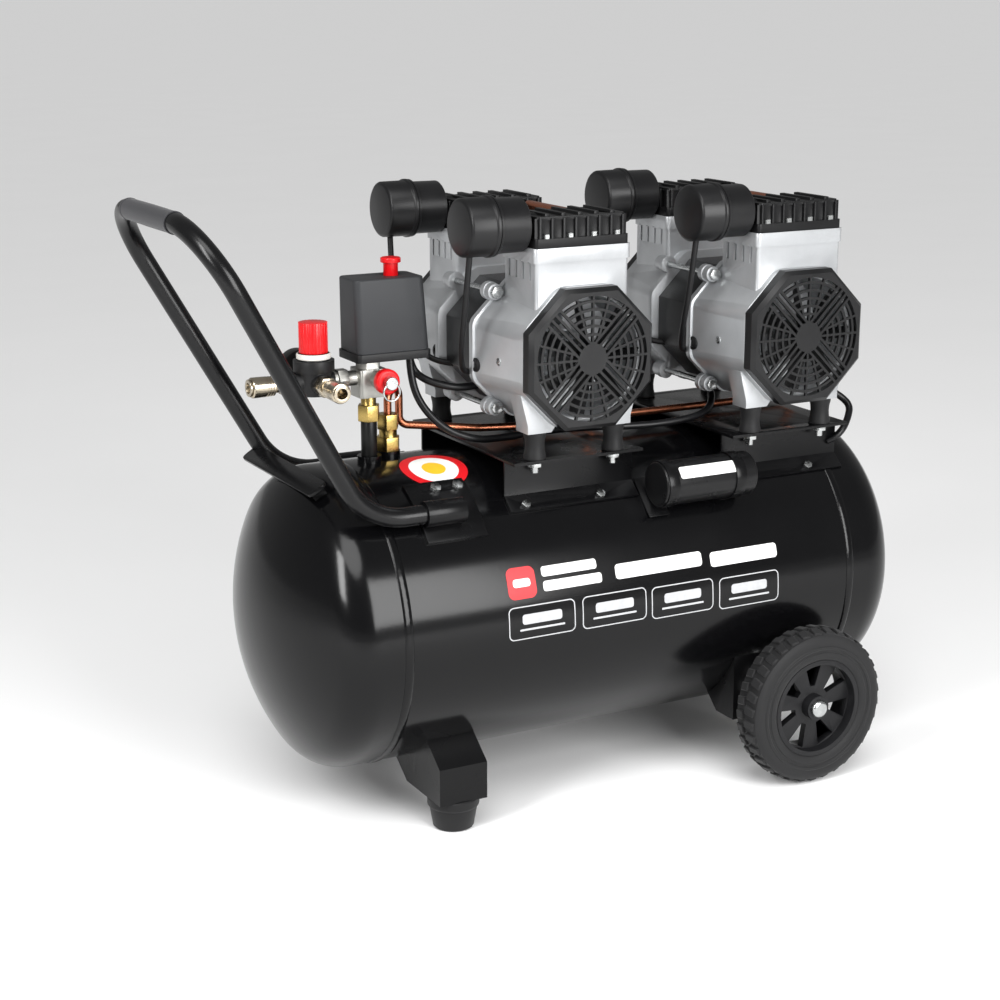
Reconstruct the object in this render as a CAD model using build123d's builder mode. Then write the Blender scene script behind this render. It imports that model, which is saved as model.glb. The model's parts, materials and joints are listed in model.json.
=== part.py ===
"""Twin-pump oil-free air compressor on a 50 litre horizontal tank.

The origin is on the floor under the middle of the whole machine. +Z is up, +X runs along the tank from the
handle to the wheels, and -Y is the front, where the couplers point. Millimetres throughout.
Two motor pumps stand on sheet platforms on the tank, each with a crankcase, cylinder and fan at both ends.
"""

import os
from math import atan2, cos, degrees, radians, sin, sqrt, tan

from build123d import *

os.makedirs("parts", exist_ok=True)

# Tank: a rolled shell with a dished end welded to each side
tank_radius = 152.0
tank_z = 200.0
tank_wall = 2.5
seam_x = 262.0
skirt = 20.0
knuckle_radius = 47.0
crown_radius = 243.0
crown_back = sqrt((crown_radius - knuckle_radius) ** 2 - (tank_radius - knuckle_radius) ** 2)
dome_reach = seam_x + skirt + crown_radius - crown_back
bead_width, bead_height = 9.0, 1.4

# Handle: one bent tube with a rubber sleeve on its crossbar
handle_radius = 9.5
handle_wall = 1.5
handle_low_y, handle_top_y = 110.0, 130.0
handle_low_z = 322.3
handle_foot_x = -186.0
handle_knee_x = -284.0
handle_top_z = 605.2
crossbar_x = -442.2
grip_radius = 10.6
grip_half = 64.0

# The fittings stand off the origin so that the origin is under the middle of the whole length
shell_shift = -2.7
tank_x = (grip_radius - crossbar_x - dome_reach - shell_shift) / 2
shell_x = tank_x + shell_shift
axle_x = tank_x + 184.0
drain_x = tank_x + 232.0
foot_x = tank_x - 196.0
riser_x = tank_x - 230.0
check_x, check_y = tank_x - 203.0, 14.0
regulator_x = tank_x - 287.0
switch_x = tank_x - 211.5

# Wheels and feet
tyre_radius = 83.2
tyre_half = 19.25
wheel_y = 181.75
bead_seat = 52.0
hub_radius = 13.0
axle_radius = 6.0
running_gap = 0.05
spoke_count = 7
foot_y = 112.0
foot_height = 32.0
bracket_y = 135.0
sheet = 3.0

# Pumps: all heights are from the shaft
pump_x = {"left": tank_x - 55.0, "right": tank_x + 200.0}
shaft_z = 461.0
shaft_radius = 7.5
stator_half = 34.0
bell_end = 121.0
cover_end = 136.0
cylinder_y = 83.0
cylinder_half_y = 32.0
cylinder_half_x = 51.5
deck = 106.0
head_height = 32.0
bore_radius = 27.0
throw = 6.0
piston_radius = 20.5
eccentric_radius = 16.0
mount_dx, mount_y = 44.5, 101.5
platform_top = 361.0
mount_height = 27.0
bolt_dx, bolt_dz = 60.0, 57.5
filter_y, filter_z = 88.0, 588.0

# Air fittings
coupler_z = 437.0
switch_base_z = 455.0
socket_radius = 5.2
socket_depth = 22.0


def save(piece, name):
    """Label one finished piece and write it under its own name."""
    piece.part.label = name
    export_step(piece.part, f"parts/{name}.step")


def tank_top(y):
    """Height of the tank's surface at a distance y from its middle plane."""
    return tank_z + sqrt(tank_radius**2 - y**2)


def on_tank(x, angle, lift=0.0):
    """A plane that lies on the tank at an angle from its top, positive towards the front."""
    a = radians(angle)
    reach = tank_radius + lift
    origin = (x, -reach * sin(a), tank_z + reach * cos(a))
    return Plane(origin, x_dir=(1, 0, 0), z_dir=(0, -sin(a), cos(a)))


def bend_radii(points):
    """The largest arc that the two runs at each corner of a free cable allow."""
    radii = []
    for before, corner, after in zip(points, points[1:], points[2:]):
        run_in = Vector(*corner) - Vector(*before)
        run_out = Vector(*after) - Vector(*corner)
        half_turn = radians(run_in.get_angle(run_out)) / 2
        radii.append(0.45 * min(run_in.length, run_out.length) / tan(half_turn))
    return radii


def round_tube(points, radii, radius, wall=0.0):
    """A tube along straight runs joined by arcs, solid when it has no wall."""
    with BuildPart() as tube:
        with BuildLine() as path:
            FilletPolyline(*points, radius=radii)
        with BuildSketch(Plane(path.line @ 0, z_dir=path.line % 0)):
            Circle(radius)
            if wall:
                Circle(radius - wall, mode=Mode.SUBTRACT)
        sweep(path=path.line)
    return tube.part


def hex_bolt(seat, shank_radius, shank_length, head_radius, head_height):
    """A bolt whose hexagon head stands on the seat plane, with its shank below it."""
    with BuildPart() as bolt:
        with BuildSketch(seat):
            RegularPolygon(head_radius, 6)
        extrude(amount=head_height)
        with BuildSketch(seat):
            Circle(shank_radius)
        extrude(amount=-shank_length)
    return bolt.part


# --- Tank ---------------------------------------------------------------------------------------------------

tank_axis = Axis((shell_x, 0, tank_z), (1, 0, 0))

with BuildPart() as tank_shell:
    with BuildSketch(Plane.YZ.offset(shell_x - seam_x)):
        with Locations((0, tank_z)):
            Circle(tank_radius)
            Circle(tank_radius - tank_wall, mode=Mode.SUBTRACT)
    extrude(amount=2 * seam_x)
    bead_x = seam_x - bead_width / 2
    with BuildSketch(Plane.XZ):
        with Locations((shell_x - bead_x, tank_z + tank_radius), (shell_x + bead_x, tank_z + tank_radius)):
            Ellipse(bead_width / 2, bead_height)
    revolve(axis=tank_axis)
    # Welded sockets for the riser, the check valve and the drain valve
    for x, y in ((riser_x, 0.0), (check_x, check_y)):
        with BuildSketch(Plane.XY.offset(tank_top(y) - tank_wall)):
            with Locations((x, y)):
                Circle(12.0)
        extrude(amount=tank_wall + 6.0)
        with BuildSketch(Plane.XY.offset(tank_top(y) - 2 * tank_wall)):
            with Locations((x, y)):
                Circle(7.0)
        extrude(amount=20.0, mode=Mode.SUBTRACT)
    with BuildSketch(Plane.XY.offset(tank_z - tank_radius - 8.0)):
        with Locations((drain_x, 0)):
            Circle(12.0)
    extrude(amount=8.0 + tank_wall)
    with BuildSketch(Plane.XY.offset(tank_z - tank_radius - 8.0)):
        with Locations((drain_x, 0)):
            Circle(5.0)
    extrude(amount=20.0, mode=Mode.SUBTRACT)
save(tank_shell, "tank_shell")

crown_angle = degrees(atan2(tank_radius - knuckle_radius, crown_back))
heads = {}
for side, name in ((-1, "tank_head_left"), (1, "tank_head_right")):
    weld_plane = Plane((shell_x + side * seam_x, 0, tank_z), x_dir=(side, 0, 0), z_dir=(0, -side, 0))
    with BuildPart() as tank_head:
        with BuildSketch(weld_plane):
            for inset, mode in ((0.0, Mode.ADD), (tank_wall, Mode.SUBTRACT)):
                with BuildLine():
                    knuckle = CenterArc(
                        (skirt, tank_radius - knuckle_radius), knuckle_radius - inset, 90, crown_angle - 90
                    )
                    crown = CenterArc((skirt - crown_back, 0), crown_radius - inset, crown_angle, -crown_angle)
                    Polyline(crown @ 1, (0, 0), (0, tank_radius - inset), knuckle @ 0)
                make_face(mode=mode)
        revolve(axis=tank_axis)
    save(tank_head, name)
    heads[name] = tank_head.part

# --- Feet, wheels and their brackets ------------------------------------------------------------------------


def folded_bracket(outline, x_low, x_high):
    """A pair of sheet brackets, each an outline across the tank hollowed out and open towards the tank."""
    with BuildPart() as brackets:
        with BuildSketch(Plane.YZ.offset(x_low)):
            with BuildLine():
                Polyline(*outline, close=True)
            make_face()
            with Locations((0, tank_z)):
                Circle(tank_radius, mode=Mode.SUBTRACT)
        extrude(amount=x_high - x_low)
        with BuildSketch(Plane.YZ.offset(x_low + sheet)):
            with BuildLine():
                Polyline(*outline, close=True)
            make_face()
            offset(amount=-sheet, kind=Kind.INTERSECTION)
        extrude(amount=x_high - x_low - 2 * sheet, mode=Mode.SUBTRACT)
        mirror(about=Plane.XZ)
    return brackets.part


# Both outlines run inside the tank, whose round side then cuts them off
foot_outline = [
    (-bracket_y, foot_height),
    (-bracket_y, 70.0),
    (-106.0, 92.0),
    (-60.0, 100.0),
    (-20.0, 60.0),
    (-60.0, foot_height),
]
with BuildPart() as foot_brackets:
    add(folded_bracket(foot_outline, foot_x - 26.0, foot_x + 26.0))
    with BuildSketch(Plane.XY.offset(foot_height)):
        with Locations((foot_x, -foot_y), (foot_x, foot_y)):
            Circle(4.0)
    extrude(amount=sheet, mode=Mode.SUBTRACT)
save(foot_brackets, "foot_brackets")

wheel_outline = [(-bracket_y, 60.0), (-bracket_y, 135.0), (-100.0, 150.0), (-60.0, 100.0), (-104.0, 60.0)]
with BuildPart() as wheel_brackets:
    add(folded_bracket(wheel_outline, axle_x - 62.0, axle_x + 35.0))
    with BuildSketch(Plane.XZ.offset(-bracket_y)):
        with Locations((axle_x, tyre_radius)):
            Circle(axle_radius)
    extrude(amount=2 * bracket_y, mode=Mode.SUBTRACT)
save(wheel_brackets, "wheel_brackets")

with BuildPart() as rubber_feet:
    with BuildSketch(Plane.XY):
        with Locations((foot_x, -foot_y)):
            Circle(20.0)
    with BuildSketch(Plane.XY.offset(foot_height)):
        with Locations((foot_x, -foot_y)):
            Circle(26.0)
    loft()
    fillet(rubber_feet.edges().sort_by(Axis.Z)[0], 3.0)
    # A recess takes the head of the fixing screw
    with BuildSketch(Plane.XY):
        with Locations((foot_x, -foot_y)):
            Circle(9.0)
    extrude(amount=12.0, mode=Mode.SUBTRACT)
    with BuildSketch(Plane.XY):
        with Locations((foot_x, -foot_y)):
            Circle(4.0)
    extrude(amount=foot_height, mode=Mode.SUBTRACT)
    mirror(about=Plane.XZ)
save(rubber_feet, "rubber_feet")

hub_face = wheel_y + tyre_half - 2.0
hub_back = wheel_y - tyre_half - 2.0
with BuildPart() as axle_bolts:
    axle_plane = Plane((axle_x, 0, tyre_radius), x_dir=(1, 0, 0), z_dir=(0, -1, 0))
    with BuildSketch(axle_plane.offset(bracket_y - 12.0)):
        Circle(axle_radius)
    extrude(amount=hub_face + 1.0 - bracket_y + 12.0)
    # Domed head, spacer against the bracket, and nut behind it
    with BuildSketch(axle_plane.offset(hub_face + 0.3)):
        Circle(9.5)
    extrude(amount=5.0)
    fillet(axle_bolts.faces().sort_by(Axis.Y)[0].edges(), 4.0)
    with BuildSketch(axle_plane.offset(bracket_y)):
        Circle(9.0)
    extrude(amount=hub_back - 0.3 - bracket_y)
    with BuildSketch(axle_plane.offset(bracket_y - sheet - 8.0)):
        RegularPolygon(10.5, 6)
    extrude(amount=8.0)
    mirror(about=Plane.XZ)
save(axle_bolts, "axle_bolts")

for side, name in ((-1, "front"), (1, "rear")):
    wheel_plane = Plane((axle_x, side * wheel_y, tyre_radius), x_dir=(1, 0, 0), z_dir=(0, side, 0))
    wheel_axis = Axis((axle_x, 0, tyre_radius), (0, 1, 0))
    # Both outlines are drawn across the wheel: along the axle, then out from it
    across = Plane((axle_x, side * wheel_y, tyre_radius), x_dir=(0, side, 0), z_dir=(side, 0, 0))
    with BuildPart() as tyre:
        with BuildSketch(across):
            with BuildLine():
                Polyline((-16.0, bead_seat), (-tyre_half, 58.0), (-tyre_half, 75.0))
                tread_left = Line((-12.0, tyre_radius), (12.0, tyre_radius))
                ThreePointArc((-tyre_half, 75.0), (-17.0, 80.5), tread_left @ 0)
                ThreePointArc(tread_left @ 1, (17.0, 80.5), (tyre_half, 75.0))
                Polyline((tyre_half, 75.0), (tyre_half, 58.0), (16.0, bead_seat), (-16.0, bead_seat))
            make_face()
        revolve(axis=wheel_axis)
    save(tyre, f"{name}_tyre")

    with BuildPart() as rim:
        with BuildSketch(wheel_plane.offset(-tyre_half + 2.0)):
            Circle(bead_seat)
            Circle(bead_seat - 5.0, mode=Mode.SUBTRACT)
        extrude(amount=2 * tyre_half - 4.0)
        with BuildSketch(wheel_plane.offset(-2.0)):
            Circle(bead_seat - 3.0)
            with PolarLocations(0, spoke_count, start_angle=90):
                with BuildLine(mode=Mode.PRIVATE) as window:
                    Polyline((21.0, -3.0), (45.0, -10.5), (45.0, 10.5), (21.0, 3.0), close=True)
                add(make_face(window.line.edges(), mode=Mode.PRIVATE), mode=Mode.SUBTRACT)
        extrude(amount=8.0)
        with BuildSketch(wheel_plane.offset(hub_back - wheel_y)):
            Circle(hub_radius)
        extrude(amount=hub_face - hub_back)
        with BuildSketch(wheel_plane.offset(-2 * tyre_half)):
            Circle(axle_radius + running_gap)
        extrude(amount=4 * tyre_half, mode=Mode.SUBTRACT)
    save(rim, f"{name}_wheel_rim")

# --- Handle -------------------------------------------------------------------------------------------------

handle_points = [
    (tank_x + handle_foot_x, -handle_low_y, handle_low_z),
    (tank_x + handle_knee_x, -handle_low_y, handle_low_z),
    (tank_x + crossbar_x, -handle_top_y, handle_top_z),
    (tank_x + crossbar_x, handle_top_y, handle_top_z),
    (tank_x + handle_knee_x, handle_low_y, handle_low_z),
    (tank_x + handle_foot_x, handle_low_y, handle_low_z),
]
handle_bends = (70.0, 64.0, 64.0, 70.0)
with BuildPart() as handle_tube:
    add(round_tube(handle_points, handle_bends, handle_radius, handle_wall))
save(handle_tube, "handle_tube")

with BuildPart() as handle_grip:
    with BuildSketch(Plane.XZ.offset(-grip_half)):
        with Locations((tank_x + crossbar_x, handle_top_z)):
            Circle(grip_radius)
            Circle(handle_radius, mode=Mode.SUBTRACT)
    extrude(amount=2 * grip_half)
save(handle_grip, "handle_grip")

socket_low, socket_high = tank_x - 224.0, tank_x - 183.0
saddle_low, saddle_length = tank_x - 225.0, 64.0
saddle_bolt_x = (tank_x - 195.0, tank_x - 171.0)
saddle_bolt_angle = 29.0
with BuildPart() as handle_sockets:
    # Saddle plate bent round the tank, with the socket welded along it
    with BuildSketch(Plane.YZ.offset(saddle_low)):
        with Locations((0, tank_z)):
            Circle(tank_radius + sheet)
        with BuildLine():
            Polyline((0, tank_z), (-92.0, tank_z + 200), (-200, tank_z + 200), (-200, tank_z + 160), close=True)
        make_face(mode=Mode.INTERSECT)
    extrude(amount=saddle_length)
    with BuildSketch(Plane.YZ.offset(socket_low)):
        with Locations((-handle_low_y, handle_low_z)):
            Circle(handle_radius + 3.0)
    extrude(amount=socket_high - socket_low)
    with BuildSketch(Plane.YZ.offset(saddle_low - 1.0)):
        with Locations((0, tank_z)):
            Circle(tank_radius)
    extrude(amount=saddle_length + 2.0, mode=Mode.SUBTRACT)
    with BuildSketch(Plane.YZ.offset(saddle_low - 1.0)):
        with Locations((-handle_low_y, handle_low_z)):
            Circle(handle_radius)
    extrude(amount=tank_x + handle_foot_x - saddle_low + 1.0, mode=Mode.SUBTRACT)
    for x in saddle_bolt_x:
        with BuildSketch(on_tank(x, saddle_bolt_angle)):
            Circle(3.0)
        extrude(amount=2 * sheet, mode=Mode.SUBTRACT)
    mirror(about=Plane.XZ)
save(handle_sockets, "handle_sockets")

# The stay is a flat strap over the dome's shoulder, coped round the rear leg, with two tabs down to the dome
stay_tilt = radians(33.0)
stay_foot = (
    shell_x - seam_x - skirt - knuckle_radius * sin(stay_tilt),
    0,
    tank_z + tank_radius - knuckle_radius * (1 - cos(stay_tilt)),
)
stay_plane = Plane(stay_foot, x_dir=(0, 1, 0), z_dir=(-sin(stay_tilt), 0, cos(stay_tilt)))
stay_low, stay_high, stay_width = -62.0, 116.0, 21.0
tab_y, tab_width, tab_drop = 53.0, 14.0, 9.6
with BuildPart() as handle_stay:
    with BuildSketch(stay_plane):
        with Locations(((stay_low + stay_high) / 2, 0)):
            RectangleRounded(stay_high - stay_low, stay_width, 6.0)
    extrude(amount=sheet)
    with BuildSketch(stay_plane):
        with Locations((-tab_y, 0), (tab_y, 0)):
            Rectangle(sheet, tab_width)
    extrude(amount=-tab_drop)
    add(heads["tank_head_left"], mode=Mode.SUBTRACT)
    add(round_tube(handle_points, handle_bends, handle_radius), mode=Mode.SUBTRACT)
save(handle_stay, "handle_stay")

# --- Pump platforms, rubber mounts and every bolt -----------------------------------------------------------

platform_half = 73.0
side_y = 90.0
side_sheet = 2.5
foot_angle = 40.2
screw_angle = 41.5
screw_dx = (-55.0, 30.0)
with BuildPart() as pump_platforms:
    for x in pump_x.values():
        with BuildSketch(Plane.YZ.offset(x - platform_half)):
            with Locations((0, platform_top - sheet / 2)):
                Rectangle(226.0, sheet)
            for side in (-1, 1):
                with Locations((side * (side_y + side_sheet / 2), platform_top - 22.0)):
                    Rectangle(side_sheet, 44.0)
                reach = tank_radius + side_sheet / 2
                at = (side * reach * sin(radians(foot_angle)), tank_z + reach * cos(radians(foot_angle)))
                with Locations(Location((*at, 0), (0, 0, -side * foot_angle))):
                    Rectangle(20.0, side_sheet)
            with Locations((0, tank_z)):
                Circle(tank_radius, mode=Mode.SUBTRACT)
        extrude(amount=2 * platform_half)
        with BuildSketch(Plane.XY.offset(platform_top)):
            with Locations((x, 0)):
                with GridLocations(2 * mount_dx, 2 * mount_y, 2, 2):
                    Circle(4.0)
        extrude(amount=-sheet, mode=Mode.SUBTRACT)
        for dx in screw_dx:
            for side in (-1, 1):
                with BuildSketch(on_tank(x + dx, side * screw_angle)):
                    Circle(2.5)
                extrude(amount=2 * side_sheet, mode=Mode.SUBTRACT)
    # The right platform's feet are notched where they cross the weld bead
    with BuildSketch(Plane.YZ.offset(shell_x + seam_x - bead_width - 1.0)):
        with Locations((0, tank_z)):
            Circle(tank_radius + bead_height + 0.3)
    extrude(amount=bead_width + 2.0, mode=Mode.SUBTRACT)
save(pump_platforms, "pump_platforms")

with BuildPart() as rubber_mounts:
    for x in pump_x.values():
        with BuildSketch(Plane.XY.offset(platform_top)):
            with Locations((x, 0)):
                with GridLocations(2 * mount_dx, 2 * mount_y, 2, 2):
                    Circle(11.25)
                    Circle(4.0, mode=Mode.SUBTRACT)
        extrude(amount=mount_height)
save(rubber_mounts, "rubber_mounts")

mount_top = platform_top + mount_height
pad_height = 8.0
bolts = []
for x in pump_x.values():
    for dx in (-mount_dx, mount_dx):
        for y in (-mount_y, mount_y):
            seat = Plane((x + dx, y, mount_top + pad_height))
            bolts.append(hex_bolt(seat, 4.0, pad_height + mount_height + 14.0, 7.5, 5.0))
            bolts.append(hex_bolt(Plane((x + dx, y, platform_top - sheet - 5.0)), 4.0, 1.0, 7.5, 5.0))
    # Long bolts clamp the two crankcases over the motor
    for dx in (-bolt_dx, bolt_dx):
        for dz in (-bolt_dz, bolt_dz):
            seat = Plane((x + dx, -stator_half - 16.0, shaft_z + dz), x_dir=(1, 0, 0), z_dir=(0, -1, 0))
            bolts.append(hex_bolt(seat, 3.0, 2 * stator_half + 38.0, 6.5, 5.0))
    for dx in screw_dx:
        for side in (-1, 1):
            seat = on_tank(x + dx, side * screw_angle, side_sheet + 0.3)
            bolts.append(hex_bolt(seat, 2.5, side_sheet + 0.3, 5.0, 3.5))
for side in (-1, 1):
    for x in saddle_bolt_x:
        bolts.append(hex_bolt(on_tank(x, side * saddle_bolt_angle, sheet), 3.0, sheet, 6.0, 4.0))
    seat = Plane((foot_x, side * foot_y, 12.0), x_dir=(1, 0, 0), z_dir=(0, 0, -1))
    bolts.append(hex_bolt(seat, 4.0, 30.0, 7.0, 6.0))
with BuildPart() as bolts_and_screws:
    add(bolts)
save(bolts_and_screws, "bolts_and_screws")

# --- Motor pumps --------------------------------------------------------------------------------------------


def octagon(half_width, flat_x, half_height, flat_z):
    """Corners of a housing with broad bevels: its sides' half heights and its top's half width."""
    quarter = [(half_width, flat_z), (flat_x, half_height)]
    left = [(-x, z) for x, z in reversed(quarter)]
    return quarter + left + [(-x, -z) for x, z in quarter] + [(x, -z) for x, z in reversed(quarter)]


def make_crankcases(pump, x):
    """Cast crankcase with its cylinder on top, front and rear."""
    front = Plane((x, 0, shaft_z), x_dir=(1, 0, 0), z_dir=(0, -1, 0))
    deck_plane = Plane.XY.offset(shaft_z + deck)
    with BuildPart() as crankcases:
        with BuildSketch(front.offset(stator_half)):
            with BuildLine():
                Polyline(*octagon(79.0, 38.0, 69.0, 28.0), close=True)
            make_face()
            fillet(vertices(), 16.0)
        with BuildSketch(front.offset(bell_end)):
            with BuildLine():
                Polyline(*octagon(69.0, 29.0, 69.0, 29.0), close=True)
            make_face()
            fillet(vertices(), 24.0)
        loft(ruled=True)
        with BuildSketch(front.offset(stator_half)):
            with BuildLine():
                Polyline(*octagon(81.0, 39.0, 70.0, 29.0), close=True)
            make_face()
            fillet(vertices(), 14.0)
            for dx in (-bolt_dx, bolt_dx):
                for dz in (-bolt_dz, bolt_dz):
                    with Locations((dx, dz)):
                        Circle(9.0)
        extrude(amount=7.0)
        with BuildSketch(front.offset(stator_half + 7.0)):
            with Locations(*[(dx, dz) for dx in (-bolt_dx, bolt_dx) for dz in (-bolt_dz, bolt_dz)]):
                Circle(8.0)
        extrude(amount=9.0)
        # Cylinder barrel and the wider lip under its head
        with BuildSketch(deck_plane):
            with Locations((x, -cylinder_y)):
                RectangleRounded(2 * cylinder_half_x, 2 * cylinder_half_y, 4.0)
        extrude(amount=-70.0)
        with BuildSketch(deck_plane):
            with Locations((x, -cylinder_y)):
                RectangleRounded(2 * cylinder_half_x + 4.0, 2 * cylinder_half_y + 3.0, 5.0)
        extrude(amount=-14.0)
        # Legs down to the rubber mounts
        for side in (-1, 1):
            with BuildSketch(front.offset(mount_y - 13.0)):
                with BuildLine():
                    Polyline(
                        (side * 22.0, -60.0),
                        (side * 32.0, mount_top - shaft_z),
                        (side * 58.0, mount_top - shaft_z),
                        (side * 58.0, mount_top + pad_height - shaft_z),
                        (side * 66.0, -34.0),
                        (side * 40.0, -30.0),
                        close=True,
                    )
                make_face()
            extrude(amount=24.0)
        # Crank chamber, bearing bore, motor recess, cylinder bore and cooling slots
        with BuildSketch(front.offset(stator_half + 30.0)):
            Circle(60.0)
        extrude(amount=bell_end, mode=Mode.SUBTRACT)
        with BuildSketch(front.offset(stator_half - 1.0)):
            Circle(52.0)
        extrude(amount=15.0, mode=Mode.SUBTRACT)
        with BuildSketch(front.offset(stator_half)):
            Circle(shaft_radius + running_gap)
            with Locations(*[(dx, dz) for dx in (-bolt_dx, bolt_dx) for dz in (-bolt_dz, bolt_dz)]):
                Circle(3.0)
        extrude(amount=40.0, mode=Mode.SUBTRACT)
        with BuildSketch(deck_plane):
            with Locations((x, -cylinder_y)):
                Circle(bore_radius)
        extrude(amount=-deck, mode=Mode.SUBTRACT)
        for side in (-1, 1):
            with BuildSketch(deck_plane.offset(-13.0)):
                with Locations((x + side * (cylinder_half_x + 1.0), -cylinder_y)):
                    with GridLocations(1.0, 13.5, 1, 4):
                        Rectangle(9.0, 3.2)
            extrude(amount=-18.0, mode=Mode.SUBTRACT)
        # Holes for the mount bolts, and the lead and breather holes on the left
        with BuildSketch(Plane.XY.offset(mount_top)):
            with Locations((x - mount_dx, -mount_y), (x + mount_dx, -mount_y)):
                Circle(4.0)
        extrude(amount=pad_height, mode=Mode.SUBTRACT)
        with BuildSketch(Plane.XY.offset(mount_top + pad_height)):
            with Locations((x - mount_dx, -mount_y), (x + mount_dx, -mount_y)):
                Circle(9.0)
        extrude(amount=8.0, mode=Mode.SUBTRACT)
        mirror(about=Plane.XZ)
    save(crankcases, f"{pump}_crankcases")


def make_stator(pump, x):
    """Laminated motor stator, clamped between the two crankcases."""
    front = Plane((x, 0, shaft_z), x_dir=(1, 0, 0), z_dir=(0, -1, 0))
    with BuildPart() as stator:
        with BuildSketch(front.offset(-stator_half)):
            with BuildLine():
                Polyline(*octagon(72.0, 34.0, 62.0, 24.0), close=True)
            make_face()
            Circle(31.5, mode=Mode.SUBTRACT)
        extrude(amount=2 * stator_half)
        for side in (-1, 1):
            # Winding ends
            with BuildSketch(front.offset(side * stator_half)):
                Circle(48.0)
                Circle(34.0, mode=Mode.SUBTRACT)
            extrude(amount=side * 11.0)
    save(stator, f"{pump}_stator")


def make_heads(pump, x):
    """Ribbed cylinder head, front and rear, with the intake port that carries its filter."""
    head_base = shaft_z + deck
    with BuildPart() as heads:
        with BuildSketch(Plane.XY.offset(head_base)):
            with Locations((x, -cylinder_y)):
                RectangleRounded(2 * cylinder_half_x, 2 * cylinder_half_y, 4.0)
        extrude(amount=9.0)
        with BuildSketch(Plane.XY.offset(head_base + 9.0)):
            with Locations((x, -cylinder_y)):
                RectangleRounded(2 * cylinder_half_x - 12.0, 2 * cylinder_half_y - 10.0, 3.0)
        extrude(amount=17.0)
        # Ribs stand round the middle block and meet under the top plate
        with BuildSketch(Plane.XY.offset(head_base + 9.0)):
            with Locations((x, -cylinder_y)):
                with GridLocations(13.0, 1.0, 8, 1):
                    Rectangle(3.0, 2 * cylinder_half_y - 2.0)
                with GridLocations(1.0, 13.0, 1, 5):
                    Rectangle(2 * cylinder_half_x - 2.0, 3.0)
        extrude(amount=19.0)
        with BuildSketch(Plane.XY.offset(head_base + 26.0)):
            with Locations((x, -cylinder_y)):
                RectangleRounded(2 * cylinder_half_x - 6.0, 2 * cylinder_half_y - 6.0, 4.0)
        extrude(amount=head_height - 28.5)
        with BuildSketch(Plane.XY.offset(head_base + head_height - 3.0)):
            with Locations((x, -cylinder_y)):
                with GridLocations(18.0, 1.0, 5, 1):
                    Rectangle(5.0, 2 * cylinder_half_y - 12.0)
        extrude(amount=3.0)
        with BuildSketch(Plane.YZ.offset(x - cylinder_half_x - 3.0)):
            with Locations((-filter_y, filter_z)):
                Circle(10.5)
        extrude(amount=17.0)
        # Two valve chambers, and the intake port into the first
        with BuildSketch(Plane.XY.offset(head_base)):
            with Locations((x, -cylinder_y)):
                with GridLocations(44.0, 1.0, 2, 1):
                    Rectangle(38.0, 44.0)
        extrude(amount=20.0, mode=Mode.SUBTRACT)
        with BuildSketch(Plane.YZ.offset(x - cylinder_half_x - 3.0)):
            with Locations((-filter_y + 6.0, filter_z - 4.0)):
                Circle(5.0)
        extrude(amount=17.0, mode=Mode.SUBTRACT)
        mirror(about=Plane.XZ)
    save(heads, f"{pump}_heads")


def make_filters(pump, x):
    """Round intake silencer on the left of each head: a pressed cap on a deeper body."""
    with BuildPart() as filters:
        for start, radius, length in ((-119.0, 28.0, 27.0), (-92.0, 29.5, 6.0), (-86.0, 26.5, 31.5)):
            with BuildSketch(Plane.YZ.offset(x + start)):
                with Locations((-filter_y, filter_z)):
                    Circle(radius)
            extrude(amount=length)
        fillet(filters.edges().filter_by(GeomType.CIRCLE).sort_by(Axis.X)[0], 2.5)
        with BuildSketch(Plane.YZ.offset(x - 116.0)):
            with Locations((-filter_y, filter_z)):
                Circle(24.0)
        extrude(amount=58.0, mode=Mode.SUBTRACT)
        with BuildSketch(Plane.YZ.offset(x - 59.0)):
            with Locations((-filter_y + 6.0, filter_z - 4.0)):
                Circle(5.0)
        extrude(amount=5.0, mode=Mode.SUBTRACT)
        mirror(about=Plane.XZ)
    save(filters, f"{pump}_filters")


def make_fan_covers(pump, x):
    """Octagonal fan cover with a grille of arcs between four diagonal bands of bars."""
    front = Plane((x, 0, shaft_z), x_dir=(1, 0, 0), z_dir=(0, -1, 0))
    grille_radius, grille_depth, bar = 61.0, 3.0, 2.6
    with BuildPart() as fan_covers:
        with BuildSketch(front.offset(bell_end)):
            RegularPolygon(68.5, 8, major_radius=False, rotation=22.5)
        extrude(amount=cover_end - bell_end)
        chamfer(fan_covers.faces().sort_by(Axis.Y)[0].edges(), 4.0)
        with BuildSketch(front.offset(bell_end)):
            Circle(64.0)
        extrude(amount=cover_end - bell_end - grille_depth, mode=Mode.SUBTRACT)
        with BuildSketch(front.offset(cover_end)):
            Circle(grille_radius)
            for ring in (56.0, 48.0, 40.0, 32.0, 24.0):
                Circle(ring + bar / 2, mode=Mode.SUBTRACT)
                Circle(ring - bar / 2)
            for angle in (0, 17, 73, 90, 107, 163):
                Rectangle(2 * grille_radius + 2.0, 2.2, rotation=angle, mode=Mode.SUBTRACT)
            for angle in (45, 135):
                Rectangle(2 * grille_radius - 6.0, 21.0, rotation=angle)
                with Locations(Location((0, 0, 0), (0, 0, angle))):
                    with GridLocations(1.0, 6.2, 1, 4):
                        Rectangle(2 * grille_radius + 2.0, bar, mode=Mode.SUBTRACT)
            Circle(15.5, mode=Mode.SUBTRACT)
        extrude(amount=-grille_depth, mode=Mode.SUBTRACT)
        mirror(about=Plane.XZ)
    save(fan_covers, f"{pump}_fan_covers")


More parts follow.
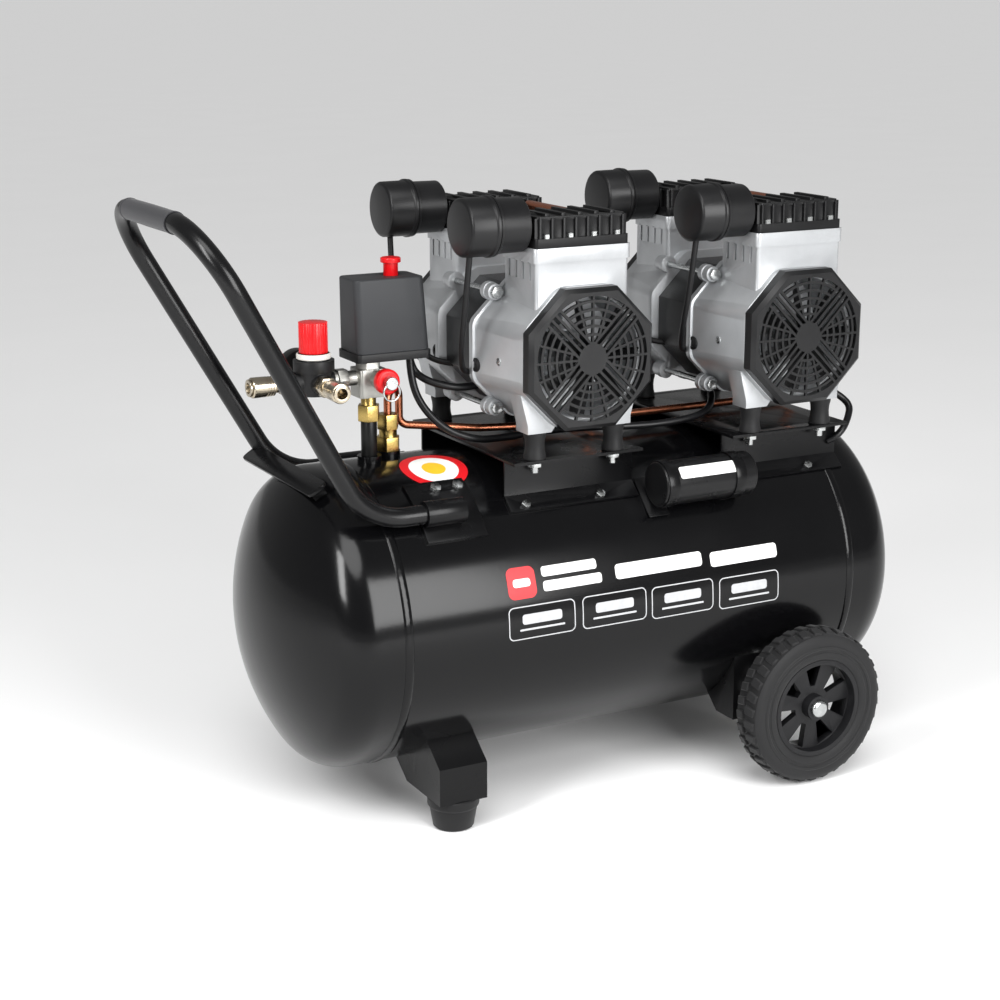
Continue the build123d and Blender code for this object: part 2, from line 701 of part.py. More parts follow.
def make_rotor(pump, x):
    """Motor shaft with its core, an eccentric at each end and a balance weight opposite each eccentric."""
    front = Plane((x, 0, shaft_z), x_dir=(1, 0, 0), z_dir=(0, -1, 0))
    with BuildPart() as rotor:
        with BuildSketch(front.offset(-cover_end + 6.0)):
            Circle(shaft_radius)
        extrude(amount=2 * cover_end - 12.0)
        with BuildSketch(front.offset(-stator_half + 4.0)):
            Circle(31.0)
        extrude(amount=2 * stator_half - 8.0)
        for side in (-1, 1):
            with BuildSketch(front.offset(side * (cylinder_y - 8.0))):
                with Locations((0, side * throw)):
                    Circle(eccentric_radius)
            extrude(amount=side * 17.0)
            with BuildSketch(front.offset(side * (cylinder_y + 9.0))):
                Circle(34.0)
                with Locations((0, side * 34.0)):
                    Rectangle(70.0, 68.0, mode=Mode.SUBTRACT)
                Circle(14.0)
            extrude(amount=side * 9.0)
    save(rotor, f"{pump}_rotor")


def make_fans(pump, x):
    """Cooling fan on each end of the shaft."""
    front = Plane((x, 0, shaft_z), x_dir=(1, 0, 0), z_dir=(0, -1, 0))
    with BuildPart() as fans:
        with BuildSketch(front.offset(bell_end - 1.0)):
            Circle(15.0)
            Circle(shaft_radius, mode=Mode.SUBTRACT)
        extrude(amount=10.0)
        with Locations(front.offset(bell_end + 5.0)):
            with PolarLocations(34.0, 7):
                Box(41.0, 15.0, 1.8, rotation=(35, 0, 0))
        mirror(about=Plane.XZ)
    save(fans, f"{pump}_fans")


def make_piston(name, x, side):
    """Piston and rod in one piece: a ring round the eccentric, a flat shank and a wide shallow crown."""
    crank_z = shaft_z - side * throw
    crown = 99.0
    front = Plane((x, 0, crank_z), x_dir=(1, 0, 0), z_dir=(0, -1, 0))
    with BuildPart() as piston:
        with BuildSketch(front.offset(-side * cylinder_y - 6.0)):
            Circle(24.0)
            with Locations((0, crown / 2)):
                Rectangle(16.0, crown - 4.0)
            Circle(eccentric_radius + running_gap, mode=Mode.SUBTRACT)
        extrude(amount=12.0)
        with BuildSketch(Plane.XY.offset(crank_z + crown)):
            with Locations((x, side * cylinder_y)):
                Circle(piston_radius)
        extrude(amount=-11.0)
    save(piston, name)


for pump, x in pump_x.items():
    make_crankcases(pump, x)
    make_stator(pump, x)
    make_heads(pump, x)
    make_filters(pump, x)
    make_fan_covers(pump, x)
    make_rotor(pump, x)
    make_fans(pump, x)
    make_piston(f"{pump}_front_piston", x, -1)
    make_piston(f"{pump}_rear_piston", x, 1)

# --- Riser, manifold, switch and safety valve ---------------------------------------------------------------

nut_z = 393.0
with BuildPart() as riser_pipe:
    with BuildSketch(Plane.XY.offset(tank_z + tank_radius - tank_wall)):
        with Locations((riser_x, 0)):
            Circle(7.0)
    extrude(amount=8.5)
    with BuildSketch(Plane.XY.offset(tank_z + tank_radius + 6.0)):
        with Locations((riser_x, 0)):
            Circle(8.0)
    extrude(amount=nut_z - tank_z - tank_radius - 6.0)
    with BuildSketch(Plane.XY.offset(tank_z + tank_radius - tank_wall)):
        with Locations((riser_x, 0)):
            Circle(4.5)
    extrude(amount=60.0, mode=Mode.SUBTRACT)
save(riser_pipe, "riser_pipe")

block_low, block_high = 418.0, 446.0
with BuildPart() as union_nut:
    with BuildSketch(Plane.XY.offset(nut_z)):
        with Locations((riser_x, 0)):
            RegularPolygon(11.5, 6)
    extrude(amount=16.0)
    with BuildSketch(Plane.XY.offset(nut_z + 16.0)):
        with Locations((riser_x, 0)):
            Circle(7.5)
    extrude(amount=block_low - nut_z - 16.0)
    with BuildSketch(Plane.XY.offset(nut_z)):
        with Locations((riser_x, 0)):
            Circle(4.5)
    extrude(amount=40.0, mode=Mode.SUBTRACT)
save(union_nut, "union_nut")

with BuildPart() as manifold_block:
    with BuildSketch(Plane.XY.offset(block_low)):
        with Locations((riser_x, 0)):
            RectangleRounded(28.0, 28.0, 4.0)
    extrude(amount=block_high - block_low)
    with BuildSketch(Plane.XY.offset(block_high)):
        with Locations((riser_x, 0)):
            RegularPolygon(13.0, 6)
    extrude(amount=switch_base_z - block_high)
    # Arm and nut towards the regulator
    with BuildSketch(Plane.YZ.offset(riser_x - 14.0)):
        with Locations((0, coupler_z)):
            Circle(7.5)
    extrude(amount=-24.0)
    with BuildSketch(Plane.YZ.offset(riser_x - 24.0)):
        with Locations((0, coupler_z)):
            RegularPolygon(11.0, 6)
    extrude(amount=-10.0)
    with BuildSketch(Plane.XY.offset(block_low)):
        with Locations((riser_x, 0)):
            Circle(5.0)
    extrude(amount=switch_base_z - block_low, mode=Mode.SUBTRACT)
save(manifold_block, "manifold_block")

valve_x = riser_x + 5.0
valve_plane = Plane((valve_x, 0, coupler_z), x_dir=(1, 0, 0), z_dir=(0, -1, 0))
with BuildPart() as safety_valve_body:
    with BuildSketch(valve_plane.offset(14.0)):
        RegularPolygon(10.0, 6)
    extrude(amount=9.0)
    with BuildSketch(valve_plane.offset(23.0)):
        Circle(7.5)
    extrude(amount=6.0)
    with BuildSketch(valve_plane.offset(14.0)):
        Circle(2.6)
    extrude(amount=20.0, mode=Mode.SUBTRACT)
save(safety_valve_body, "safety_valve_body")

with BuildPart() as safety_valve_cap:
    with BuildSketch(valve_plane.offset(29.0)):
        Circle(12.5)
    extrude(amount=9.0)
    fillet(safety_valve_cap.faces().sort_by(Axis.Y)[0].edges(), 3.0)
    with BuildSketch(valve_plane.offset(29.0)):
        Circle(2.6)
    extrude(amount=20.0, mode=Mode.SUBTRACT)
save(safety_valve_cap, "safety_valve_cap")

# Stem of the safety valve with its button and pull ring, which all move together
ring_tube, ring_radius, ring_y = 1.1, 8.5, 44.0
with BuildPart() as safety_valve_ring:
    with BuildSketch(valve_plane.offset(24.0)):
        Circle(2.2)
    extrude(amount=22.0)
    with BuildSketch(valve_plane.offset(38.5)):
        Circle(6.5)
    extrude(amount=8.0)
    fillet(safety_valve_ring.faces().sort_by(Axis.Y)[0].edges(), 1.2)
    with BuildSketch(Plane.XY.offset(valve_plane.origin.Z - ring_radius)):
        with Locations((valve_x + ring_radius, -ring_y)):
            Circle(ring_tube)
    revolve(axis=Axis((valve_x, -ring_y, valve_plane.origin.Z - ring_radius), (0, 1, 0)))
save(safety_valve_ring, "safety_valve_ring")

cover_height = 72.0
with BuildPart() as pressure_switch_base:
    with BuildSketch(Plane.XY.offset(switch_base_z)):
        with Locations((switch_x, 0)):
            RectangleRounded(79.0, 50.0, 5.0)
    extrude(amount=8.0)
    # Contact block under the cover, and the gland for the mains lead at the back
    with BuildSketch(Plane.XY.offset(switch_base_z + 8.0)):
        with Locations((switch_x, 0)):
            Rectangle(52.0, 30.0)
    extrude(amount=34.0)
    with BuildSketch(Plane.XZ.offset(-25.0)):
        with Locations((switch_x - 22.0, switch_base_z + 4.0)):
            RegularPolygon(4.0, 6)
    extrude(amount=-9.0)
    with BuildSketch(Plane.XY.offset(switch_base_z)):
        with Locations((riser_x, 0)):
            Circle(5.0)
    extrude(amount=6.0, mode=Mode.SUBTRACT)
save(pressure_switch_base, "pressure_switch_base")

knob_x = tank_x - 204.0
with BuildPart() as pressure_switch_cover:
    for inset, mode in ((0.0, Mode.ADD), (2.2, Mode.SUBTRACT)):
        with BuildSketch(Plane.XY.offset(switch_base_z + 8.0)):
            with Locations((switch_x, 0)):
                RectangleRounded(77.0 - 2 * inset, 48.0 - 2 * inset, 7.0 - inset)
        with BuildSketch(Plane.XY.offset(switch_base_z + 8.0 + cover_height - inset)):
            with Locations((switch_x - 3.0, 0)):
                RectangleRounded(74.0 - 2 * inset, 43.0 - 2 * inset, 7.0 - inset)
        loft(ruled=True, mode=mode)
    fillet(pressure_switch_cover.faces().sort_by(Axis.Z)[-1].edges(), 2.0)
    with BuildSketch(Plane.XY.offset(switch_base_z)):
        with Locations((knob_x, 0)):
            Circle(7.6)
    extrude(amount=100.0, mode=Mode.SUBTRACT)
save(pressure_switch_cover, "pressure_switch_cover")

knob_top = 552.5
with BuildPart() as switch_knob:
    with BuildSketch(Plane.XY.offset(knob_top - 36.0)):
        with Locations((knob_x, 0)):
            Circle(7.25)
    extrude(amount=36.0)
    with BuildSketch(Plane.XY.offset(knob_top - 5.0)):
        with Locations((knob_x, 0)):
            Circle(10.0)
    extrude(amount=5.0)
    fillet(switch_knob.faces().sort_by(Axis.Z)[-1].edges(), 1.5)
save(switch_knob, "switch_knob")

# --- Regulator, gauge and quick couplers --------------------------------------------------------------------

with BuildPart() as regulator_body:
    with BuildSketch(Plane.XY.offset(425.0)):
        with Locations((regulator_x, 0)):
            Circle(17.0)
    extrude(amount=34.0)
    with BuildSketch(Plane.XY.offset(448.0)):
        with Locations((regulator_x, 0)):
            Circle(20.0)
    extrude(amount=11.0)
    # Threaded ring and spindle under the knob
    with BuildSketch(Plane.XY.offset(459.0)):
        with Locations((regulator_x, 0)):
            Circle(15.5)
    extrude(amount=6.5)
    with BuildSketch(Plane.XY.offset(465.5)):
        with Locations((regulator_x, 0)):
            Circle(6.0)
    extrude(amount=18.0)
    with BuildSketch(Plane.YZ.offset(regulator_x - 22.0)):
        with Locations((0, coupler_z)):
            Circle(9.5)
    extrude(amount=riser_x - 38.0 - regulator_x + 22.0)
    with BuildSketch(Plane.XZ.offset(-22.0)):
        with Locations((regulator_x, coupler_z)):
            Circle(9.5)
    extrude(amount=44.0)
save(regulator_body, "regulator_body")

with BuildPart() as regulator_knob:
    with BuildSketch(Plane.XY.offset(466.0)):
        with Locations((regulator_x, 0)):
            Circle(14.0)
            with PolarLocations(14.3, 24):
                Circle(0.9, mode=Mode.SUBTRACT)
    extrude(amount=29.5)
    fillet(regulator_knob.faces().sort_by(Axis.Z)[-1].outer_wire().edges().sort_by(SortBy.LENGTH)[-1:], 0.4)
    with BuildSketch(Plane.XY.offset(466.0)):
        with Locations((regulator_x, 0)):
            Circle(6.0 + running_gap)
    extrude(amount=18.5, mode=Mode.SUBTRACT)
save(regulator_knob, "regulator_knob")

gauge_z = coupler_z + 6.0
gauge_y = 32.0
with BuildPart() as gauge_case:
    with BuildSketch(Plane.XZ.offset(-22.0)):
        with Locations((regulator_x, coupler_z)):
            Circle(6.0)
    extrude(amount=-(gauge_y - 22.0))
    with BuildSketch(Plane.XZ.offset(-gauge_y)):
        with Locations((regulator_x, gauge_z)):
            Circle(20.0)
    extrude(amount=-15.0)
    with BuildSketch(Plane.XZ.offset(-gauge_y - 5.0)):
        with Locations((regulator_x, gauge_z)):
            Circle(18.0)
            Circle(1.5, mode=Mode.SUBTRACT)
    extrude(amount=-10.0, mode=Mode.SUBTRACT)
    with BuildSketch(Plane.XZ.offset(-gauge_y - 9.5)):
        with Locations((regulator_x, gauge_z)):
            Circle(2.0)
    extrude(amount=-6.0, mode=Mode.SUBTRACT)
save(gauge_case, "gauge_case")

with BuildPart() as gauge_needle:
    with BuildSketch(Plane.XZ.offset(-gauge_y - 7.0)):
        with Locations((regulator_x, gauge_z)):
            Circle(2.6)
            with Locations(Location((0, 0, 0), (0, 0, -45))):
                with Locations((5.0, 0)):
                    Rectangle(19.0, 1.0)
            Circle(1.5 + running_gap, mode=Mode.SUBTRACT)
    extrude(amount=-1.0)
save(gauge_needle, "gauge_needle")

coupler_planes = {
    "left": Plane((regulator_x - 22.0, 0, coupler_z), x_dir=(0, 1, 0), z_dir=(-1, 0, 0)),
    "front": Plane((regulator_x, -22.0, coupler_z), x_dir=(1, 0, 0), z_dir=(0, -1, 0)),
}
coupler_length = 46.0
with BuildPart() as coupler_bodies:
    for seat in coupler_planes.values():
        with BuildSketch(seat):
            RegularPolygon(10.5, 6)
        extrude(amount=13.0)
        with BuildSketch(seat):
            Circle(7.0)
        extrude(amount=coupler_length)
        with BuildSketch(seat.offset(coupler_length - 2.0)):
            Circle(8.4)
        extrude(amount=2.0)
        with BuildSketch(seat.offset(coupler_length)):
            Circle(socket_radius)
        extrude(amount=-socket_depth, mode=Mode.SUBTRACT)
save(coupler_bodies, "coupler_bodies")

for name, seat in coupler_planes.items():
    with BuildPart() as sleeve:
        with BuildSketch(seat.offset(20.0)):
            Circle(10.0)
            Circle(7.0 + running_gap, mode=Mode.SUBTRACT)
        extrude(amount=coupler_length - 22.3)
        chamfer(sleeve.edges().filter_by(GeomType.CIRCLE).sort_by(SortBy.RADIUS)[-2:], 1.0)
    save(sleeve, f"{name}_coupler_sleeve")

# --- Check valve, air tubes and drain -----------------------------------------------------------------------

check_seat = tank_top(check_y) + 6.0
with BuildPart() as check_valve:
    with BuildSketch(Plane.XY.offset(check_seat - 6.0)):
        with Locations((check_x, check_y)):
            Circle(7.0)
    extrude(amount=6.0)
    for start, radius, length in ((0.0, 12.5, 14.0), (22.0, 11.5, 15.0)):
        with BuildSketch(Plane.XY.offset(check_seat + start)):
            with Locations((check_x, check_y)):
                RegularPolygon(radius, 6)
        extrude(amount=length)
    with BuildSketch(Plane.XY.offset(check_seat)):
        with Locations((check_x, check_y)):
            Circle(9.0)
    extrude(amount=30.0)
    with BuildSketch(Plane.XY.offset(check_seat - 6.0)):
        with Locations((check_x, check_y)):
            Circle(4.0)
    extrude(amount=80.0, mode=Mode.SUBTRACT)
save(check_valve, "check_valve")

tube_radius = 4.0
collector_z = 374.0
rise_dx = 80.0
valve_top = check_seat + 37.0
discharge = [
    (check_x, check_y, valve_top - 4.0),
    (check_x, check_y, valve_top + 22.0),
    (check_x + 20.0, check_y + 16.0, valve_top + 22.0),
    (check_x + 20.0, check_y + 16.0, collector_z + 4.0),
    (pump_x["left"] - 50.0, 6.0, collector_z - 3.0),
    (pump_x["left"], 0.0, collector_z - 5.0),
    (pump_x["right"] + rise_dx, 0.0, collector_z - 5.0),
    (pump_x["right"] + rise_dx, 0.0, 562.0),
    (pump_x["right"] + 30.0, 0.0, filter_z),
]
with BuildPart() as air_tubes:
    add(round_tube(discharge, [10.0, 10.0, 10.0, 14.0, 60.0, 16.0, 16.0], tube_radius))
    left_rise = [(pump_x["left"] + rise_dx, 0.0, z) for z in (collector_z - 5.0, 562.0)]
    left_rise.append((pump_x["left"] + 30.0, 0.0, filter_z))
    add(round_tube(left_rise, [16.0], tube_radius))
    for x in pump_x.values():
        with BuildSketch(Plane.XZ.offset(-cylinder_y + cylinder_half_y + 5.0)):
            with Locations((x + 30.0, filter_z)):
                Circle(6.0)
        extrude(amount=2 * (cylinder_y - cylinder_half_y - 5.0))
save(air_tubes, "air_tubes")

drain_z = tank_z - tank_radius - 8.0
with BuildPart() as drain_valve_body:
    with BuildSketch(Plane.XY.offset(drain_z)):
        with Locations((drain_x, 0)):
            Circle(5.0)
    extrude(amount=8.0)
    with BuildSketch(Plane.XY.offset(drain_z)):
        with Locations((drain_x, 0)):
            RegularPolygon(10.0, 6)
    extrude(amount=-10.0)
    with BuildSketch(Plane.XY.offset(drain_z - 10.0)):
        with Locations((drain_x, 0)):
            Circle(4.0)
    extrude(amount=-8.0)
save(drain_valve_body, "drain_valve_body")

with BuildPart() as drain_knob:
    with BuildSketch(Plane.XY.offset(drain_z - 10.5)):
        with Locations((drain_x, 0)):
            Circle(7.5)
            Rectangle(26.0, 4.0)
            Circle(4.0 + running_gap, mode=Mode.SUBTRACT)
    extrude(amount=-9.0)
save(drain_knob, "drain_knob")

# --- Capacitors, hoses and wiring ---------------------------------------------------------------------------

capacitor_y, capacitor_z, capacitor_radius = 126.0, 325.0, 22.5
capacitor_low, capacitor_length = tank_x + 26.0, 109.0
with BuildPart() as capacitor_cases:
    with BuildSketch(Plane.YZ.offset(capacitor_low)):
        with Locations((-capacitor_y, capacitor_z)):
            Circle(capacitor_radius)
    extrude(amount=capacitor_length)
    fillet(capacitor_cases.edges().filter_by(GeomType.CIRCLE), 2.5)
    mirror(about=Plane.XZ)
save(capacitor_cases, "capacitor_cases")

with BuildPart() as capacitor_brackets:
    capacitor_angle = degrees(atan2(capacitor_y, capacitor_z - tank_z))
    with BuildSketch(on_tank(capacitor_low + 6.0, capacitor_angle)):
        Rectangle(24.0, 46.0)
    extrude(amount=2.0)
    for start in (2.0, 82.0):
        with BuildSketch(Plane.YZ.offset(capacitor_low + start)):
            with Locations((-capacitor_y, capacitor_z)):
                Circle(capacitor_radius + 1.6)
        extrude(amount=12.0)
    with BuildSketch(on_tank(capacitor_low + 88.0, capacitor_angle)):
        Rectangle(12.0, 30.0)
    extrude(amount=2.0)
    with BuildSketch(Plane.YZ.offset(capacitor_low - 30.0)):
        with Locations((-capacitor_y, capacitor_z)):
            Circle(capacitor_radius)
    extrude(amount=200.0, mode=Mode.SUBTRACT)
    with BuildSketch(Plane.YZ.offset(capacitor_low - 40.0)):
        with Locations((0, tank_z)):
            Circle(tank_radius)
    extrude(amount=200.0, mode=Mode.SUBTRACT)
    mirror(about=Plane.XZ)
save(capacitor_brackets, "capacitor_brackets")


def hose_route(x, side):
    """Points of one breather hose, from under a filter into the side of the motor."""
    return [
        (x - 108.0, side * 88.0, filter_z - 27.0),
        (x - 109.0, side * 84.0, filter_z - 58.0),
        (x - 108.0, side * 76.0, filter_z - 88.0),
        (x - 104.0, side * 62.0, filter_z - 118.0),
        (x - 96.0, side * 46.0, filter_z - 140.0),
        (x - 84.0, side * 31.0, filter_z - 150.0),
        (x - 68.0, side * 26.0, filter_z - 152.0),
    ]


hose_radius = 3.0
with BuildPart() as filter_hoses:
    for x in pump_x.values():
        for side in (-1, 1):
            route = hose_route(x, side)
            add(round_tube(route, bend_radii(route), hose_radius))
save(filter_hoses, "filter_hoses")

left, right = pump_x["left"], pump_x["right"]
cable_radius = 3.8
cable_routes = [
    # Switch to the left motor, high
    [
        (switch_x + 30.0, 8.0, switch_base_z),
        (switch_x + 31.0, 6.0, switch_base_z - 16.0),
        (switch_x + 42.0, -4.0, switch_base_z - 27.0),
        (switch_x + 60.0, -12.0, switch_base_z - 33.0),
        (switch_x + 78.0, -16.0, switch_base_z - 36.0),
        (left - 57.0, -16.0, switch_base_z - 34.0),
    ],
    # Switch down to the platform, under the left pump and on to the right motor
    [
        (switch_x + 22.0, -10.0, switch_base_z),
        (switch_x + 22.0, -12.0, switch_base_z - 22.0),
        (switch_x + 28.0, -22.0, switch_base_z - 48.0),
        (switch_x + 48.0, -34.0, switch_base_z - 72.0),
        (switch_x + 78.0, -42.0, switch_base_z - 84.0),
        (left - 45.0, -34.0, platform_top + 7.0),
        (left, -26.0, platform_top + 7.0),
        (left + 55.0, -30.0, platform_top + 7.0),
        (left + 105.0, -44.0, platform_top + 5.0),
        (left + 150.0, -50.0, platform_top + 6.0),
        (right - 66.0, -48.0, platform_top + 10.0),
        (right - 46.0, -34.0, platform_top + 18.0),
        (right - 38.0, -18.0, platform_top + 30.0),
        (right - 38.0, -10.0, platform_top + 41.0),
    ],
    # Right motor's lead, looped out past the end of its platform
    [
        (right + 42.0, -58.0, 405.0),
        (right + 62.0, -64.0, 396.0),
        (right + 80.0, -68.0, 388.0),
        (right + 94.0, -74.0, 379.0),
        (right + 100.0, -82.0, 370.0),
        (right + 92.0, -90.0, 360.0),
        (right + 80.0, -98.0, 350.0),
        (right + 70.0, -97.0, 341.0),
        (right + 64.0, -92.0, 337.0),
    ],
]
with BuildPart() as wiring:
    for route in cable_routes:
        add(round_tube(route, bend_radii(route), cable_radius))
save(wiring, "wiring")
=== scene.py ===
# %% [markdown]
# # A twin-pump air compressor
# The machine is a black tank on two wheels and two rubber feet. Two motor pumps stand on it, and the fittings
# that switch, regulate and let out the air stand at its left end.
# The exact model of the whole machine comes first. Each piece made here takes its place from that model, so
# nothing has to be fitted by eye.

# %% Load the model
import json
from math import cos, pi, radians, sin

import bpy
from mathutils import Matrix, Vector

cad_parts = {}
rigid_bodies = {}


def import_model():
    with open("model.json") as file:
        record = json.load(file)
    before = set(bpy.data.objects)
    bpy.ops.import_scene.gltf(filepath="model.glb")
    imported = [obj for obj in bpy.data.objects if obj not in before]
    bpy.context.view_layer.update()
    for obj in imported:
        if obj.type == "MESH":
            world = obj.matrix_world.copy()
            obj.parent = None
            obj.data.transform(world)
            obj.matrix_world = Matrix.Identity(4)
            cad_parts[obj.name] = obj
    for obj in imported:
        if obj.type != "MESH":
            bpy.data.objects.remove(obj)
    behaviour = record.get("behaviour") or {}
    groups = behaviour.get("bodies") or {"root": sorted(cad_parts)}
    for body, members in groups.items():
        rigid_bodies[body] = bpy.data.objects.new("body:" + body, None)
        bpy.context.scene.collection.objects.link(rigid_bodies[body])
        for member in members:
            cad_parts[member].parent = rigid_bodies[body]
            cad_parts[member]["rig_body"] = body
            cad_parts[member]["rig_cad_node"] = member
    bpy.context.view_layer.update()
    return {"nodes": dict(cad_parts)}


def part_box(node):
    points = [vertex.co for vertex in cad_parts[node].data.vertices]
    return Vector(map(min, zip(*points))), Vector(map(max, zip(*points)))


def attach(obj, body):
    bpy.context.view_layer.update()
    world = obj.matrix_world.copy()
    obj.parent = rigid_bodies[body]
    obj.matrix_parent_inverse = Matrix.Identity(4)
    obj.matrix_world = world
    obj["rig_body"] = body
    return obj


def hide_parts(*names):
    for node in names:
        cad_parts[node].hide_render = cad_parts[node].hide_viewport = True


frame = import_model()
MM = 0.001

# %% [markdown]
# ## Where things are
# The model says where each part is. A box has a lowest and a highest corner, so its middle is the mean of both.
# The tank's axis, the two shafts and the wheels' axle are all that most pieces need.


# %% Places
def middle(node):
    """Middle of a node's box, in metres."""
    low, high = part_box(node)
    return (low + high) / 2


TANK = middle("tank_shell")
TANK_RADIUS = (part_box("tank_head_left")[1].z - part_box("tank_head_left")[0].z) / 2
TANK.z = middle("tank_head_left").z
SHAFT = {side: middle(f"{side}_rotor") for side in ("left", "right")}
AXLE = middle("front_tyre")
print("tank axis", TANK[:], "radius", round(TANK_RADIUS, 4))

# %% [markdown]
# ## Camera
# The machine is seen from its left front and a little from above, with a long lens from about two metres. A long
# lens keeps upright edges nearly parallel, as product pictures do.

# %% Camera
camera_data = bpy.data.cameras.new("camera")
camera_data.lens = 70.48
camera_data.sensor_width = 36.0
camera = bpy.data.objects.new("camera", camera_data)
camera.location = (-0.9587, -1.7221, 0.8097)
camera.rotation_euler = (radians(75.2), 0.0, radians(-28.2))
bpy.context.scene.collection.objects.link(camera)
bpy.context.scene.camera = camera
print("camera at", camera.location[:])

# %% [markdown]
# ## Colours and nodes
# Colours are picked on a screen, so they are written as sRGB hex values. Shaders add light up, so they
# need linear values, and one function turns the one into the other.
# A second function adds a node, sets its inputs and links it, which keeps each finish below short.


# %% Helpers for finishes
def linear(code, alpha=1.0):
    """An sRGB hex colour such as "808080" as linear RGBA."""
    values = [int(code[i : i + 2], 16) / 255 for i in (0, 2, 4)]
    return (*[v / 12.92 if v <= 0.04045 else ((v + 0.055) / 1.055) ** 2.4 for v in values], alpha)


def add_node(tree, kind, settings=None, inputs=None, links=None):
    """Add a node: its own settings, values for its inputs, and links from other nodes' sockets."""
    node = tree.nodes.new(kind)
    for name, value in (settings or {}).items():
        setattr(node, name, value)
    for name, value in (inputs or {}).items():
        node.inputs[name].default_value = value
    for name, socket in (links or {}).items():
        tree.links.new(socket, node.inputs[name])
    return node


def start_material(name, constants):
    """A new material: its tree, its shader with the constants set, and the object coordinates."""
    material = bpy.data.materials.new(name)
    material.use_nodes = True
    tree = material.node_tree
    shader = tree.nodes["Principled BSDF"]
    for socket, value in constants.items():
        shader.inputs[socket].default_value = value
    place = add_node(tree, "ShaderNodeTexCoord").outputs["Object"]
    return material, tree, shader, place


FINISH = {}

# %% [markdown]
# ## Gloss powder coat
# The tank is steel, sprayed with powder and baked. Powder flows into a smooth film with a faint waviness called
# orange peel, here waves about 4 mm across and a few hundredths deep. That waviness breaks up the edges of each
# reflection. The film is nearly black, and its highlights are sharp because the film is smooth.
# The handle and the brackets have the same coat with a little less gloss, so one recipe makes them all.


# %% Powder coat
def powder_coat(name, dark, light, roughness, peel_mm, peel_depth, level=0.22):
    """Baked powder film: two close tones, uneven gloss and orange peel."""
    material, tree, shader, place = start_material(name, {"Specular IOR Level": level})
    cloud = add_node(tree, "ShaderNodeTexNoise", None, {"Scale": 1000 / 60, "Detail": 3.0}, {"Vector": place})
    tone = add_node(tree, "ShaderNodeMix", {"data_type": "RGBA"}, {"A": linear(dark), "B": linear(light)},
                    {"Factor": cloud.outputs["Fac"]})
    tree.links.new(tone.outputs["Result"], shader.inputs["Base Color"])
    gloss = add_node(tree, "ShaderNodeMapRange", None,
                     {"To Min": roughness * 0.85, "To Max": roughness * 1.2}, {"Value": cloud.outputs["Fac"]})
    tree.links.new(gloss.outputs["Result"], shader.inputs["Roughness"])
    peel = add_node(tree, "ShaderNodeTexNoise", None, {"Scale": 1000 / peel_mm, "Detail": 1.0}, {"Vector": place})
    bump = add_node(tree, "ShaderNodeBump", None, {"Strength": 0.35, "Distance": peel_depth * MM},
                    {"Height": peel.outputs["Fac"]})
    tree.links.new(bump.outputs["Normal"], shader.inputs["Normal"])
    FINISH[name] = material


powder_coat("tank_powder_coat", "050506", "080809", 0.16, 4.0, 0.05, level=0.26)
powder_coat("handle_powder_coat", "09090a", "0e0e0f", 0.24, 2.0, 0.04, level=0.3)
powder_coat("bracket_powder_coat", "080809", "0d0d0e", 0.27, 3.0, 0.05)
powder_coat("head_paint", "0b0b0c", "121213", 0.40, 1.2, 0.12)
powder_coat("riser_black_oxide", "0d0d0e", "151514", 0.34, 1.5, 0.05)
print("powder coats:", sorted(FINISH))

# %% [markdown]
# ## Silver cast aluminium
# Crankcases and cylinders are die cast, blasted and sprayed with silver lacquer. Casting leaves a fine grain of
# about half a millimetre, drawn here a little coarser so that it shows, and soft clouds where the lacquer lies
# thicker. Lacquer holds flakes in clear resin, so it is only partly a metal to the eye.


# %% Cast and sprayed aluminium
def cast_silver(name, dark, light, metallic, roughness, grain_mm):
    """Sprayed casting: cloudy tone, fine grain in gloss and height."""
    material, tree, shader, place = start_material(name, {"Metallic": metallic})
    cloud = add_node(tree, "ShaderNodeTexNoise", None, {"Scale": 1000 / 35, "Detail": 4.0}, {"Vector": place})
    grain = add_node(tree, "ShaderNodeTexNoise", None, {"Scale": 1000 / grain_mm, "Detail": 2.0}, {"Vector": place})
    both = add_node(tree, "ShaderNodeMath", {"operation": "MULTIPLY_ADD"}, {1: 0.3},
                    {0: grain.outputs["Fac"], 2: cloud.outputs["Fac"]})
    tone = add_node(tree, "ShaderNodeMix", {"data_type": "RGBA"}, {"A": linear(dark), "B": linear(light)},
                    {"Factor": both.outputs["Value"]})
    tree.links.new(tone.outputs["Result"], shader.inputs["Base Color"])
    gloss = add_node(tree, "ShaderNodeMapRange", None,
                     {"To Min": roughness - 0.06, "To Max": roughness + 0.08}, {"Value": grain.outputs["Fac"]})
    tree.links.new(gloss.outputs["Result"], shader.inputs["Roughness"])
    bump = add_node(tree, "ShaderNodeBump", None, {"Strength": 0.4, "Distance": 0.08 * MM},
                    {"Height": grain.outputs["Fac"]})
    tree.links.new(bump.outputs["Normal"], shader.inputs["Normal"])
    FINISH[name] = material


cast_silver("sprayed_cast_aluminium", "9b9d9f", "b9bbbd", 0.6, 0.38, 0.9)
cast_silver("machined_piston_aluminium", "9a9b9d", "b9babc", 0.9, 0.35, 0.7)

# %% [markdown]
# ## Moulded plastic and rubber
# Filters, fan covers and the wheel rims are glass-filled nylon, the switch's cover is ABS, and the knobs are a
# glossier ABS. A spark-eroded mould gives them a fine even grain. Rubber is duller, with a broader, weaker
# highlight. Only colour, gloss and the size of the grain differ, so one recipe makes them all.


